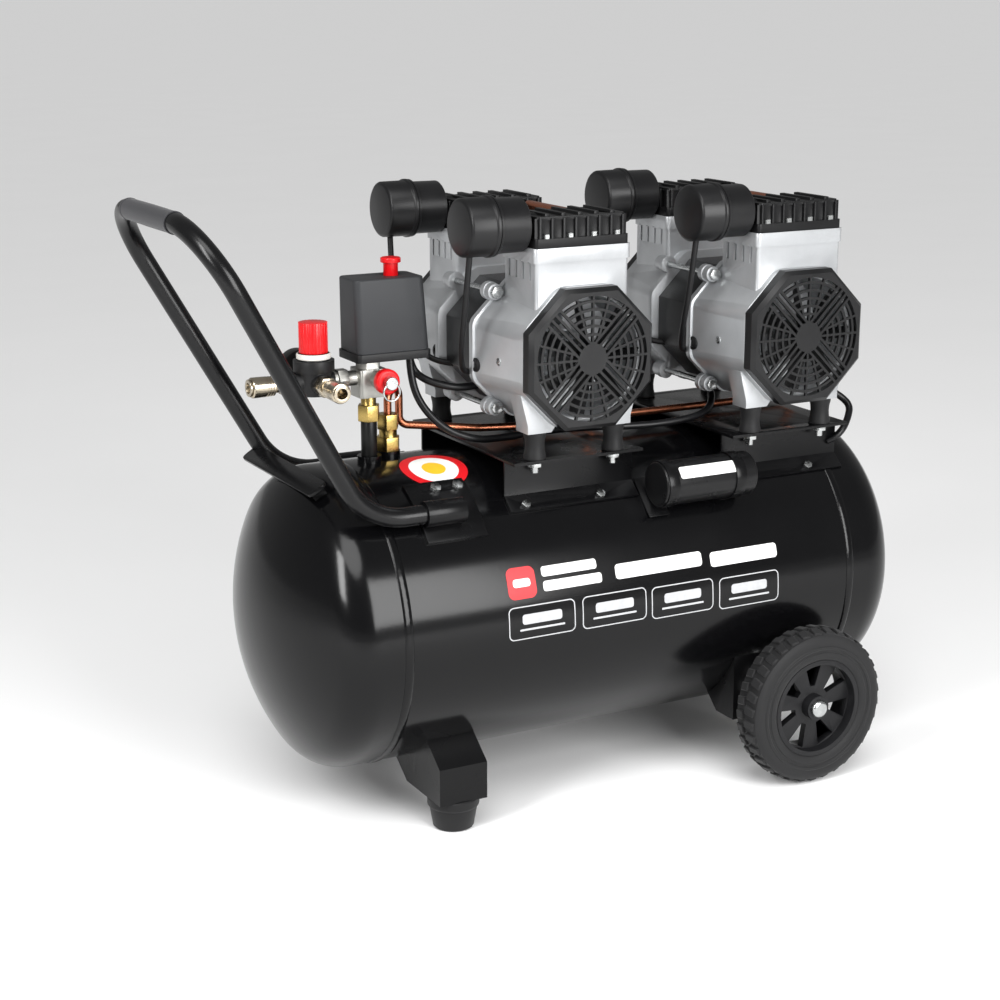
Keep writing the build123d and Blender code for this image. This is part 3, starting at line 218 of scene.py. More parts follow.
# %% Moulded plastic and rubber
def moulded(name, dark, light, roughness, grain_mm, depth_mm=0.05, sheen=0.0, level=0.28):
    """Moulded polymer: fine mould grain, slight tone and gloss clouds."""
    material, tree, shader, place = start_material(
        name, {"Sheen Weight": sheen, "Sheen Roughness": 0.5, "Specular IOR Level": level}
    )
    grain = add_node(tree, "ShaderNodeTexVoronoi", None, {"Scale": 1000 / grain_mm}, {"Vector": place})
    cloud = add_node(tree, "ShaderNodeTexNoise", None, {"Scale": 1000 / 22, "Detail": 3.0}, {"Vector": place})
    tone = add_node(tree, "ShaderNodeMix", {"data_type": "RGBA"}, {"A": linear(dark), "B": linear(light)},
                    {"Factor": cloud.outputs["Fac"]})
    tree.links.new(tone.outputs["Result"], shader.inputs["Base Color"])
    gloss = add_node(tree, "ShaderNodeMapRange", None,
                     {"To Min": roughness - 0.05, "To Max": roughness + 0.07}, {"Value": cloud.outputs["Fac"]})
    tree.links.new(gloss.outputs["Result"], shader.inputs["Roughness"])
    bump = add_node(tree, "ShaderNodeBump", None, {"Strength": 0.3, "Distance": depth_mm * MM},
                    {"Height": grain.outputs["Distance"]})
    tree.links.new(bump.outputs["Normal"], shader.inputs["Normal"])
    FINISH[name] = material


moulded("filter_nylon", "0f0f10", "161617", 0.34, 0.9)
moulded("fan_cover_nylon", "0e0e0f", "151516", 0.34, 0.9, level=0.35)
moulded("rim_nylon", "111112", "18181a", 0.38, 1.0)
moulded("switch_cover_abs", "2b2c2e", "333436", 0.48, 0.8)
moulded("switch_base_abs", "101011", "161617", 0.45, 0.8)
moulded("red_knob_abs", "c4060e", "d80c14", 0.30, 0.8, 0.02, level=0.4)
moulded("lock_ring_nylon", "c9c6c0", "d8d5cf", 0.40, 0.9)
moulded("tyre_rubber", "111112", "1a1a1b", 0.62, 1.1, 0.08, sheen=0.08)
moulded("foot_rubber", "0d0d0e", "141415", 0.55, 1.1, 0.06, sheen=0.05)
moulded("grip_rubber", "222225", "2d2d31", 0.60, 1.2, 0.08, sheen=0.15)
moulded("hose_rubber", "0b0b0c", "121213", 0.46, 1.0)
moulded("cable_pvc", "0a0a0b", "101012", 0.32, 1.5, 0.03)
moulded("capacitor_case_abs", "0a0a0b", "101011", 0.28, 1.4, 0.02)
moulded("insulating_varnish", "1b1c1d", "2a2b2c", 0.38, 1.2)

# %% [markdown]
# ## Plated and bare metal
# Screws are zinc plated, couplers nickel plated, and the union nut and the check valve are plain brass. Turning
# leaves rings and handling leaves hairlines, so the gloss is uneven at a fraction of a millimetre. The same recipe
# serves all of them, with other colours. A metal's colour is the colour of its reflections.


# %% Plated and bare metal
def plated(name, dark, light, roughness, line_mm):
    """Bright metal: hairlines in gloss and height, faint tarnish in tone."""
    material, tree, shader, place = start_material(name, {"Metallic": 1.0})
    stretched = add_node(tree, "ShaderNodeMapping", None, {"Scale": (1.0, 1.0, 8.0)}, {"Vector": place})
    hairs = add_node(tree, "ShaderNodeTexNoise", None, {"Scale": 1000 / line_mm / 8, "Detail": 3.0},
                     {"Vector": stretched.outputs["Vector"]})
    tarnish = add_node(tree, "ShaderNodeTexNoise", None, {"Scale": 1000 / 9, "Detail": 4.0}, {"Vector": place})
    tone = add_node(tree, "ShaderNodeMix", {"data_type": "RGBA"}, {"A": linear(dark), "B": linear(light)},
                    {"Factor": tarnish.outputs["Fac"]})
    tree.links.new(tone.outputs["Result"], shader.inputs["Base Color"])
    gloss = add_node(tree, "ShaderNodeMapRange", None,
                     {"To Min": roughness * 0.7, "To Max": roughness * 1.4}, {"Value": hairs.outputs["Fac"]})
    tree.links.new(gloss.outputs["Result"], shader.inputs["Roughness"])
    bump = add_node(tree, "ShaderNodeBump", None, {"Strength": 0.15, "Distance": 0.03 * MM},
                    {"Height": hairs.outputs["Fac"]})
    tree.links.new(bump.outputs["Normal"], shader.inputs["Normal"])
    FINISH[name] = material


plated("zinc_plate", "a4a6a6", "cfd1d0", 0.24, 0.8)
plated("nickel_plate", "9c9382", "cbbfaa", 0.22, 0.6)
plated("zinc_casting", "8d8c88", "b7b6b0", 0.38, 0.9)
plated("turned_brass", "a98f52", "c2a866", 0.28, 0.6)
plated("drawn_copper", "a8644a", "ba7658", 0.28, 0.9)
plated("ground_steel", "86888a", "b4b6b8", 0.28, 0.7)

# %% [markdown]
# ## Laminated steel
# A motor's stator is a stack of varnished steel sheets, each half a millimetre thick. At that pitch the lines
# would blur away, so they are drawn 2 mm apart, as bands across the stack, and the varnish over them shines.

# %% Laminated steel
lamination, tree, shader, place = start_material("varnished_laminations", {"Metallic": 0.3})
sheets = add_node(tree, "ShaderNodeTexWave", {"bands_direction": "Y"},
                  {"Scale": 2 * pi / (20 * 2.0 * MM), "Distortion": 0.4}, {"Vector": place})
tone = add_node(tree, "ShaderNodeMix", {"data_type": "RGBA"}, {"A": linear("151516"), "B": linear("2c2d2e")},
                {"Factor": sheets.outputs["Fac"]})
tree.links.new(tone.outputs["Result"], shader.inputs["Base Color"])
gloss = add_node(tree, "ShaderNodeMapRange", None, {"To Min": 0.28, "To Max": 0.5},
                 {"Value": sheets.outputs["Fac"]})
tree.links.new(gloss.outputs["Result"], shader.inputs["Roughness"])
bump = add_node(tree, "ShaderNodeBump", None, {"Strength": 0.5, "Distance": 0.15 * MM},
                {"Height": sheets.outputs["Fac"]})
tree.links.new(bump.outputs["Normal"], shader.inputs["Normal"])
FINISH["varnished_laminations"] = lamination

# %% [markdown]
# ## Print
# The marks on the tank are vinyl film. Film is an even colour with a slight waviness, less glossy than the coat.
# The real machine's words and marks are left out, and plain bars and outlines stand in their places.


# %% Printed vinyl
def vinyl(name, dark, light):
    """Printed film: nearly even colour with a faint unevenness in gloss."""
    material, tree, shader, place = start_material(name, {"Specular IOR Level": 0.4})
    cloud = add_node(tree, "ShaderNodeTexNoise", None, {"Scale": 1000 / 6, "Detail": 2.0}, {"Vector": place})
    tone = add_node(tree, "ShaderNodeMix", {"data_type": "RGBA"}, {"A": linear(dark), "B": linear(light)},
                    {"Factor": cloud.outputs["Fac"]})
    tree.links.new(tone.outputs["Result"], shader.inputs["Base Color"])
    gloss = add_node(tree, "ShaderNodeMapRange", None, {"To Min": 0.28, "To Max": 0.4},
                     {"Value": cloud.outputs["Fac"]})
    tree.links.new(gloss.outputs["Result"], shader.inputs["Roughness"])
    FINISH[name] = material


vinyl("white_vinyl", "e6e6e4", "f4f4f2")
vinyl("silver_vinyl", "a5a6a8", "b9babc")
vinyl("red_vinyl", "c8141c", "d61c24")
vinyl("amber_vinyl", "e6b422", "f0c437")
vinyl("dial_black", "151515", "1d1d1d")
print(len(FINISH), "finishes")

# %% [markdown]
# ## Tools for modelling
# An operator works on whatever is selected, and loading the model leaves its nodes selected. So each tool starts
# by clearing the selection. When a piece is done, its place is applied to its mesh, so that its object sits at
# the origin like the nodes do.


# %% Selecting and placing
def clear():
    """Leave edit mode and deselect everything."""
    if bpy.context.object and bpy.context.object.mode != "OBJECT":
        bpy.ops.object.mode_set(mode="OBJECT")
    bpy.ops.object.select_all(action="DESELECT")


def only(*pieces):
    """Select just these pieces, the first of them active."""
    clear()
    for piece in pieces:
        piece.select_set(True)
    bpy.context.view_layer.objects.active = pieces[0]


def settle(piece):
    """Move the object's place into its mesh."""
    only(piece)
    bpy.ops.object.transform_apply(location=True, rotation=True, scale=True)
    return piece


SHARP_EDGE = 34  # degrees between faces, above which an edge is rounded


def smooth(piece, angle=32):
    """Smooth shading, with edges sharper than the angle kept sharp."""
    only(piece)
    bpy.ops.object.shade_smooth_by_angle(angle=radians(angle))
    return piece


def joined(name, pieces):
    """Several pieces as one."""
    only(*pieces)
    if len(pieces) > 1:
        bpy.ops.object.join()
    pieces[0].name = pieces[0].data.name = name
    return pieces[0]


def rounded(piece, width_mm):
    """Round the piece's sharp edges with a bevel."""
    only(piece)
    bevel = piece.modifiers.new("rounding", "BEVEL")
    bevel.width, bevel.segments = width_mm * MM, 2
    bevel.limit_method, bevel.angle_limit = "ANGLE", radians(SHARP_EDGE)
    bevel.miter_outer = "MITER_ARC"
    bevel.use_clamp_overlap = True
    bpy.ops.object.modifier_apply(modifier=bevel.name)
    return smooth(piece)


def dress(piece, finish, body, slot, *nodes):
    """Give a piece its finish and the body it rides on, and hide the nodes that it replaces. The slot is not used.
    """
    piece.data.materials.clear()
    piece.data.materials.append(FINISH[finish])
    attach(piece, body)
    if nodes:
        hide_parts(*nodes)
    return piece


# %% [markdown]
# ## Softened castings and pressings
# Many parts already have the right shape, but their edges are mathematically sharp, and no real edge is. A real
# edge has a small radius that catches a thin highlight. Each such part is copied, its triangles are merged back
# into broad faces, and its edges are bevelled by a width that suits how the part is made.


# %% Softened copies
def softened(node, width_mm, dissolve=True):
    """A copy of a node with clean faces and rounded edges."""
    source = frame["nodes"][node]
    piece = source.copy()
    piece.data = source.data.copy()
    piece.parent = None
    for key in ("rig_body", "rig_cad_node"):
        if key in piece:
            del piece[key]
    piece.name = piece.data.name = node + "_soft"
    bpy.context.scene.collection.objects.link(piece)
    only(piece)
    bpy.ops.object.mode_set(mode="EDIT")
    bpy.ops.mesh.select_all(action="SELECT")
    bpy.ops.mesh.remove_doubles(threshold=2e-6)
    bpy.ops.mesh.customdata_custom_splitnormals_clear()
    if dissolve:
        bpy.ops.mesh.dissolve_limited(angle_limit=radians(0.5))
    bpy.ops.object.mode_set(mode="OBJECT")
    if width_mm:
        return rounded(piece, width_mm)
    return smooth(piece)


# name, edge radius in mm, finish, slot
SOFT = [
    ("tank_shell", 0.0, "tank_powder_coat", "black_paint"),
    ("tank_head_left", 0.0, "tank_powder_coat", "black_paint"),
    ("tank_head_right", 0.0, "tank_powder_coat", "black_paint"),
    ("foot_brackets", 0.0, "bracket_powder_coat", "black_paint"),
    ("wheel_brackets", 1.2, "bracket_powder_coat", "black_paint"),
    ("pump_platforms", 0.6, "bracket_powder_coat", "black_paint"),
    ("handle_tube", 0.0, "handle_powder_coat", "black_paint"),
    ("handle_sockets", 0.6, "bracket_powder_coat", "black_paint"),
    ("handle_stay", 0.6, "bracket_powder_coat", "black_paint"),
    ("bolts_and_screws", 0.5, "zinc_plate", "zinc_steel"),
    ("axle_bolts", 0.4, "zinc_plate", "zinc_steel"),
    ("riser_pipe", 0.3, "riser_black_oxide", "black_steel"),
    ("union_nut", 0.7, "turned_brass", "brass"),
    ("check_valve", 0.6, "turned_brass", "brass"),
    ("manifold_block", 0.9, "zinc_casting", "nickel"),
    ("safety_valve_body", 0.6, "zinc_casting", "nickel"),
    ("air_tubes", 0.0, "drawn_copper", "copper"),
    ("capacitor_cases", 0.0, "capacitor_case_abs", "black_plastic"),
    ("capacitor_brackets", 0.5, "bracket_powder_coat", "black_paint"),
    ("pressure_switch_base", 1.0, "switch_base_abs", "black_plastic"),
    ("pressure_switch_cover", 1.5, "switch_cover_abs", "grey_plastic"),
    ("regulator_body", 0.8, "switch_base_abs", "black_plastic"),
    ("gauge_case", 0.6, "riser_black_oxide", "black_steel"),
    ("coupler_bodies", 0.5, "nickel_plate", "nickel"),
    ("drain_valve_body", 0.5, "turned_brass", "brass"),
    ("safety_valve_cap", 0.5, "red_knob_abs", "red_plastic"),
]
for pump in ("left", "right"):
    SOFT += [
        (f"{pump}_crankcases", 1.1, "sprayed_cast_aluminium", "cast_aluminium"),
        (f"{pump}_stator", 0.8, "varnished_laminations", "lamination"),
        (f"{pump}_heads", 0.7, "head_paint", "black_paint"),
        (f"{pump}_fan_covers", 0.0, "fan_cover_nylon", "black_plastic"),
    ]
for node, width, finish, slot in SOFT:
    # A grille's face has holes, which a merged face can't have
    dress(softened(node, width, "fan_covers" not in node), finish, "frame", slot, node)
for node, width, finish, body, slot in (
    ("switch_knob", 0.5, "red_knob_abs", "switch_knob", "red_plastic"),
    ("regulator_knob", 0.6, "red_knob_abs", "regulator_knob", "red_plastic"),
    ("safety_valve_ring", 0.0, "zinc_plate", "safety_valve_ring", "zinc_steel"),
    ("drain_knob", 0.8, "turned_brass", "drain_knob", "brass"),
    ("front_wheel_rim", 0.8, "rim_nylon", "front_wheel", "black_plastic"),
    ("rear_wheel_rim", 0.8, "rim_nylon", "rear_wheel", "black_plastic"),
):
    dress(softened(node, width), finish, body, slot, node)
print(len(SOFT) + 6, "softened parts")

# %% [markdown]
# ## Turned pieces
# Anything round was turned or moulded round, so it is made the same way here: half of its outline, spun about an
# axis. A circle primitive gives as many joined points as the outline needs. The points are moved to the outline,
# and the spin operator turns it through a full circle.


# %% Turned pieces
def turned(name, outline, centre, direction, steps=64, closed=False, crease=32):
    """Spin an outline of (reach along the axis, radius), in mm, about an axis through the centre."""
    clear()
    bpy.ops.mesh.primitive_circle_add(vertices=len(outline), radius=0.01, location=(0, 0, 0))
    piece = bpy.context.object
    piece.name = piece.data.name = name
    for vertex, (reach, radius) in zip(piece.data.vertices, outline):
        vertex.co = (radius * MM, 0.0, reach * MM)
    ends = {0, len(outline) - 1}
    bpy.ops.object.mode_set(mode="EDIT")
    if not closed:
        bpy.ops.mesh.select_all(action="DESELECT")
        bpy.ops.object.mode_set(mode="OBJECT")
        for edge in piece.data.edges:
            edge.select = set(edge.vertices) == ends
        bpy.ops.object.mode_set(mode="EDIT")
        bpy.ops.mesh.select_mode(type="EDGE")
        bpy.ops.mesh.delete(type="EDGE")
        bpy.ops.mesh.select_mode(type="VERT")
    bpy.ops.mesh.select_all(action="SELECT")
    bpy.ops.mesh.spin(steps=steps, angle=2 * pi, center=(0, 0, 0), axis=(0, 0, 1))
    bpy.ops.mesh.select_all(action="SELECT")
    bpy.ops.mesh.remove_doubles(threshold=1e-5)
    bpy.ops.mesh.normals_make_consistent(inside=False)
    bpy.ops.object.mode_set(mode="OBJECT")
    turn = Vector((0, 0, 1)).rotation_difference(Vector(direction)).to_matrix().to_4x4()
    piece.matrix_world = Matrix.Translation(centre) @ turn
    return smooth(settle(piece), crease)


# %% [markdown]
# ## Tyres
# Each tyre is solid rubber with a smooth side, two moulded rings on it and blocks round the tread. The casing is
# turned. One block is modelled from a cube, narrowed towards the ground and bevelled, and copied round the tyre
# in two rows that are half a step apart, as the real tread is.

# %% Tyre casing
TYRE_RADIUS = middle("front_tyre").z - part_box("front_tyre")[0].z
TYRE_HALF = (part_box("front_tyre")[1].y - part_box("front_tyre")[0].y) / 2 / MM
CASING = [
    (-16.0, 52.0), (-17.6, 53.2), (-TYRE_HALF + 0.2, 58.0), (-TYRE_HALF + 0.2, 60.2), (-TYRE_HALF + 1.0, 61.0),
    (-TYRE_HALF + 1.0, 63.4), (-TYRE_HALF + 0.0, 64.4), (-TYRE_HALF + 0.0, 66.6), (-TYRE_HALF + 0.9, 67.6),
    (-TYRE_HALF + 0.9, 71.5), (-17.9, 75.6), (-15.6, 78.6), (-10.0, 79.6), (0.0, 79.9),
]
CASING += [(-reach, radius) for reach, radius in reversed(CASING[:-1])]


BLOCKS = 34  # in each of the two rows
BLOCK = (10.2, 12.6, 6.6)  # mm round the tyre, across it and out from it
ROW_Y = 7.6


def tread_block(number, hub, row):
    """One bevelled block of the tread, narrower at the ground, at its place round the tyre."""
    clear()
    bpy.ops.mesh.primitive_cube_add(size=1.0, location=(0, 0, 0))
    block = bpy.context.object
    block.scale = Vector(BLOCK) * MM
    bpy.ops.object.transform_apply(location=False, rotation=False, scale=True)
    for vertex in block.data.vertices:
        outer = vertex.co.z > 0
        vertex.co.x *= 0.82 if outer else 1.0
        # The outer half of each block leans down over the shoulder
        if vertex.co.y < 0:
            vertex.co.z -= (1.9 if outer else 3.4) * MM
            vertex.co.y -= (0.0 if outer else 0.9) * MM
    bpy.ops.object.mode_set(mode="EDIT")
    bpy.ops.mesh.select_all(action="SELECT")
    bpy.ops.mesh.bevel(offset=0.7 * MM, segments=1, affect="EDGES")
    bpy.ops.object.mode_set(mode="OBJECT")
    reach = TYRE_RADIUS - (BLOCK[2] / 2 + 0.04) * MM
    angle = 2 * pi * (number + 0.5 * row) / BLOCKS
    lean = Matrix.Rotation(radians(9 if row else -9), 4, "Z")
    flip = Matrix.Rotation(pi if row else 0, 4, "Z")
    out = Matrix.Translation((0, (ROW_Y if row else -ROW_Y) * MM, reach)) @ lean @ flip
    block.matrix_world = Matrix.Translation(hub) @ Matrix.Rotation(angle, 4, "Y") @ out
    return settle(block)


for name in ("front", "rear"):
    hub = middle(f"{name}_tyre")
    casing = turned("casing", CASING, hub, (0, 1, 0), steps=96, closed=True, crease=40)
    blocks = [tread_block(i, hub, row) for i in range(BLOCKS) for row in (0, 1)]
    tread = smooth(joined("tread", blocks))
    tyre = joined(f"{name}_tyre_treaded", [casing, tread])
    dress(tyre, "tyre_rubber", f"{name}_wheel", "tyre", f"{name}_tyre")
print("tyre", len(tyre.data.polygons), "faces")

# %% [markdown]
# ## Intake filters
# Each filter is a round nylon can with a cap pressed over it. The cap's rim stands out as a flange, with a fine
# groove where the two meet. They are turned about the can's own axis, which lies along the machine.

# %% Intake filters
FILTER = [
    (0.0, 0.0), (0.0, 24.2), (0.35, 25.6), (1.4, 27.2), (2.6, 27.9), (25.5, 28.1), (26.4, 28.5), (26.9, 29.2),
    (27.5, 29.5), (29.8, 29.5), (30.2, 29.1), (30.4, 28.4), (30.9, 28.4), (31.2, 29.1), (33.0, 29.1), (33.4, 28.7),
    (33.8, 26.9), (34.4, 26.5), (63.2, 26.3), (64.3, 25.2), (64.5, 23.8), (64.5, 13.0),
]
for pump in ("left", "right"):
    low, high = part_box(f"{pump}_filters")
    radius = (high.z - low.z) / 2
    cans = []
    for y in (low.y + radius, high.y - radius):
        cans.append(turned("can", FILTER, Vector((low.x, y, (low.z + high.z) / 2)), (1, 0, 0), steps=72))
    dress(joined(f"{pump}_filter_cans", cans), "filter_nylon", "frame", "black_plastic", f"{pump}_filters")

# %% [markdown]
# ## Handle grip
# A thick rubber sleeve is pushed over the crossbar. It has a rounded lip at each end and is very slightly
# barrelled, so it is turned about the crossbar.

# %% Handle grip
low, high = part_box("handle_grip")
half, grip_radius = (high.y - low.y) / 2 / MM, (high.z - low.z) / 2 / MM
GRIP = [(-half, 9.5), (-half, grip_radius - 0.5), (-half + 0.5, grip_radius), (-half + 3.0, grip_radius)]
GRIP += [(-half + 3.6, grip_radius - 0.4), (0.0, grip_radius - 0.1)]
GRIP += [(-reach, radius) for reach, radius in reversed(GRIP[:-1])]
grip = turned("crossbar_grip", GRIP, middle("handle_grip"), (0, 1, 0), steps=48, closed=True)
dress(grip, "grip_rubber", "frame", "rubber", "handle_grip")

# %% [markdown]
# ## Rubber feet and mounts
# The machine stands on two rubber cones, each with a moulded step at the top and a recess for its screw. The
# pumps stand on short rubber drums, waisted a little by their load.

# %% Rubber feet and mounts
FOOT_RADIUS = 26.0
MOUNT_DX, MOUNT_Y = 44.5, 101.5  # mm from the pump's middle
FOOT = [
    (0.0, 9.0), (0.0, 18.4), (0.5, 19.6), (1.6, 20.4), (22.0, 24.0), (22.6, 24.9), (23.4, 25.6), (25.0, 26.0),
    (31.2, 26.0), (32.0, 25.2), (32.0, 4.0), (12.0, 4.0), (12.0, 9.0),
]
low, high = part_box("rubber_feet")
feet = []
for y in (low.y + FOOT_RADIUS * MM, high.y - FOOT_RADIUS * MM):
    feet.append(turned("foot", FOOT, Vector(((low.x + high.x) / 2, y, 0)), (0, 0, 1), steps=56, closed=True))
dress(joined("rubber_cones", feet), "foot_rubber", "frame", "rubber", "rubber_feet")
MOUNT = [(0.0, 4.0), (0.0, 10.6), (0.6, 11.2), (3.5, 11.1), (8.0, 10.0), (13.5, 9.6), (19.0, 10.0), (23.5, 11.1),
         (26.4, 11.2), (27.0, 10.6), (27.0, 4.0)]
low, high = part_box("rubber_mounts")
drums = []
for pump in ("left", "right"):
    for dx in (-MOUNT_DX, MOUNT_DX):
        for dy in (-MOUNT_Y, MOUNT_Y):
            at = Vector((SHAFT[pump].x + dx * MM, dy * MM, low.z))
            drums.append(turned("drum", MOUNT, at, (0, 0, 1), steps=40, closed=True))
dress(joined("mount_drums", drums), "foot_rubber", "frame", "rubber", "rubber_mounts")
print("feet and mounts done")

# %% [markdown]
# ## Quick couplers
# A coupler's sleeve is pulled back to let a hose go. It is turned from nickel-plated steel with grip rings cut
# round it, and a shoulder at its front.

# %% Coupler sleeves
SLEEVE = [
    (0.0, 7.05), (0.0, 8.8), (0.9, 9.6), (2.6, 9.6), (3.0, 9.0), (3.8, 9.0), (4.2, 9.7), (5.4, 9.7), (5.8, 9.1),
    (6.6, 9.1), (7.0, 9.8), (8.2, 9.8), (8.6, 9.2), (9.4, 9.2), (9.8, 9.9), (17.0, 10.0), (22.2, 10.0),
    (23.4, 9.3), (23.7, 8.4), (23.7, 7.05),
]
SLEEVE_LENGTH = SLEEVE[-1][0]
for name, direction in (("left", (-1, 0, 0)), ("front", (0, -1, 0))):
    centre = middle(f"{name}_coupler_sleeve")
    start = centre - Vector(direction) * SLEEVE_LENGTH / 2 * MM
    sleeve = turned(f"{name}_grip_sleeve", SLEEVE, start, direction, steps=48, closed=True, crease=28)
    dress(sleeve, "nickel_plate", f"{name}_coupler_sleeve", "nickel", f"{name}_coupler_sleeve")

# %% [markdown]
# ## Hoses and cables
# A rubber breather hose runs from under each filter into its motor, and three PVC cables join the switch and the
# motors. Each is held at both ends and stiff enough to keep its bends. A round curve on a NURBS spline gives
# one smooth line through the air, which is how such a hose lies.


# %% Hoses and cables
def along(name, routes, radius_mm, finish, slot):
    """Round curves along routes of points in mm, each held at both ends."""
    curve = bpy.data.curves.new(name, "CURVE")
    curve.dimensions = "3D"
    curve.bevel_depth = radius_mm * MM
    curve.bevel_resolution = 5
    curve.resolution_u = 10
    curve.use_fill_caps = True
    for route in routes:
        spline = curve.splines.new("NURBS")
        spline.points.add(len(route) - 1)
        for point, at in zip(spline.points, route):
            point.co = (at[0] * MM, at[1] * MM, at[2] * MM, 1.0)
        spline.order_u = 3
        spline.use_endpoint_u = True
    piece = bpy.data.objects.new(name, curve)
    bpy.context.scene.collection.objects.link(piece)
    return dress(piece, finish, "frame", slot, name.replace("_runs", ""))


FILTER_Z = middle("left_filters").z / MM
hoses = []
for pump in ("left", "right"):
    x = SHAFT[pump].x / MM
    for side in (-1, 1):
        hoses.append([
            (x - 108.0, side * 88.0, FILTER_Z - 27.0), (x - 109.0, side * 84.0, FILTER_Z - 58.0),
            (x - 108.0, side * 76.0, FILTER_Z - 88.0), (x - 104.0, side * 62.0, FILTER_Z - 118.0),
            (x - 96.0, side * 46.0, FILTER_Z - 140.0), (x - 84.0, side * 31.0, FILTER_Z - 150.0),
            (x - 68.0, side * 26.0, FILTER_Z - 152.0),
        ])
along("filter_hoses_runs", hoses, 3.0, "hose_rubber", "rubber")

SWITCH_X = middle("pressure_switch_base").x / MM
SWITCH_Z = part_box("pressure_switch_base")[0].z / MM
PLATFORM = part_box("pump_platforms")[1].z / MM
LEFT_X, RIGHT_X = SHAFT["left"].x / MM, SHAFT["right"].x / MM
cables = [
    [
        (SWITCH_X + 30.0, 8.0, SWITCH_Z), (SWITCH_X + 31.0, 6.0, SWITCH_Z - 16.0),
        (SWITCH_X + 42.0, -4.0, SWITCH_Z - 27.0), (SWITCH_X + 60.0, -12.0, SWITCH_Z - 33.0),
        (SWITCH_X + 78.0, -16.0, SWITCH_Z - 36.0), (LEFT_X - 57.0, -16.0, SWITCH_Z - 34.0),
    ],
    [
        (SWITCH_X + 22.0, -10.0, SWITCH_Z), (SWITCH_X + 22.0, -12.0, SWITCH_Z - 22.0),
        (SWITCH_X + 28.0, -22.0, SWITCH_Z - 48.0), (SWITCH_X + 48.0, -34.0, SWITCH_Z - 72.0),
        (SWITCH_X + 78.0, -42.0, SWITCH_Z - 84.0), (LEFT_X - 45.0, -34.0, PLATFORM + 7.0),
        (LEFT_X, -26.0, PLATFORM + 7.0), (LEFT_X + 55.0, -30.0, PLATFORM + 7.0),
        (LEFT_X + 105.0, -44.0, PLATFORM + 5.0), (LEFT_X + 150.0, -50.0, PLATFORM + 6.0),
        (RIGHT_X - 66.0, -48.0, PLATFORM + 10.0), (RIGHT_X - 46.0, -34.0, PLATFORM + 18.0),
        (RIGHT_X - 38.0, -18.0, PLATFORM + 30.0), (RIGHT_X - 38.0, -10.0, PLATFORM + 41.0),
    ],
    [
        (RIGHT_X + 42.0, -58.0, 405.0), (RIGHT_X + 62.0, -64.0, 396.0), (RIGHT_X + 80.0, -68.0, 388.0),
        (RIGHT_X + 94.0, -74.0, 379.0), (RIGHT_X + 100.0, -82.0, 370.0), (RIGHT_X + 92.0, -90.0, 360.0),
        (RIGHT_X + 80.0, -98.0, 350.0), (RIGHT_X + 70.0, -97.0, 341.0), (RIGHT_X + 64.0, -92.0, 337.0),
    ],
]
along("wiring_runs", cables, 3.8, "cable_pvc", "cable")

# %% [markdown]
# ## Small fittings
# Each head is held by four bolts that stand between its ribs. Each crankcase has a rubber grommet and a screw in
# its left side. A pale ring locks the regulator's knob. All of these are turned, and a bolt's head has six steps.

# %% Small fittings
HEAD_BOLT = [(0.0, 0.0), (0.0, 4.2), (4.0, 4.2), (4.6, 3.6), (4.6, 0.0)]
GROMMET = [(-4.0, 0.0), (-4.0, 7.0), (1.4, 7.0), (2.2, 6.2), (2.2, 4.0), (1.0, 3.4), (1.0, 0.0)]
SCREW = [(-4.0, 0.0), (-4.0, 3.8), (1.0, 3.8), (1.9, 2.4), (2.1, 0.0)]
BOLT_DX, BOLT_Y, FLANGE = (-39.0, -13.0, 13.0, 39.0), 111.0, 9.0  # mm
silver, rubber = [], []
for pump in ("left", "right"):
    x = SHAFT[pump].x
    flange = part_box(f"{pump}_heads")[0].z + FLANGE * MM
    for side in (-1, 1):
        for dx in BOLT_DX:
            at = Vector((x + dx * MM, side * BOLT_Y * MM, flange))
            silver.append(turned("bolt", HEAD_BOLT, at, (0, 0, 1), steps=6))
        at = Vector((x - 78.0 * MM, side * 43.0 * MM, SHAFT[pump].z - 14.0 * MM))
        rubber.append(turned("grommet", GROMMET, at, (-1, 0, 0), steps=32))
        at = Vector((x - 73.4 * MM, side * 82.0 * MM, SHAFT[pump].z - 5.0 * MM))
        silver.append(turned("screw", SCREW, at, (-1, 0, 0), steps=24))
dress(joined("head_bolts_and_screws", silver), "zinc_plate", "frame", "zinc_steel")
dress(joined("crankcase_grommets", rubber), "hose_rubber", "frame", "rubber")
knob = middle("regulator_knob")
knob.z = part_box("regulator_knob")[0].z - 5.9 * MM
LOCK_RING = [(0.0, 15.5), (0.0, 16.2), (0.6, 16.8), (4.4, 16.8), (5.4, 15.8), (5.4, 14.6), (5.0, 14.4), (5.0, 15.5)]
ring = turned("regulator_lock_ring", LOCK_RING, knob, (0, 0, 1), steps=56, closed=True)
dress(ring, "lock_ring_nylon", "frame", "grey_plastic")
print(len(silver) + len(rubber) + 1, "small fittings")

# %% [markdown]
# ## Inner parts
# The rotors, fans and pistons are seen only through the grilles, and their exact shape is right already. They
# keep their meshes and get a finish.

# %% Inner parts
INNER = {"gauge_needle": "red_knob_abs"}
for pump in ("left", "right"):
    INNER[f"{pump}_rotor"] = "ground_steel"
    INNER[f"{pump}_fans"] = "fan_cover_nylon"
    for end in ("front", "rear"):
        INNER[f"{pump}_{end}_piston"] = "machined_piston_aluminium"
for node, finish in INNER.items():
    mesh = frame["nodes"][node].data
    mesh.materials.clear()
    mesh.materials.append(FINISH[finish])
print(len(INNER), "inner parts dressed")

# %% [markdown]
# ## Marks on the tank
# A mark is a thin film that follows the round of the tank. Each is drawn flat, in millimetres along the tank and
# round it, and then wrapped: the distance round the tank becomes an angle. Films are a quarter of a millimetre
# above the coat, so that they don't flicker through it.


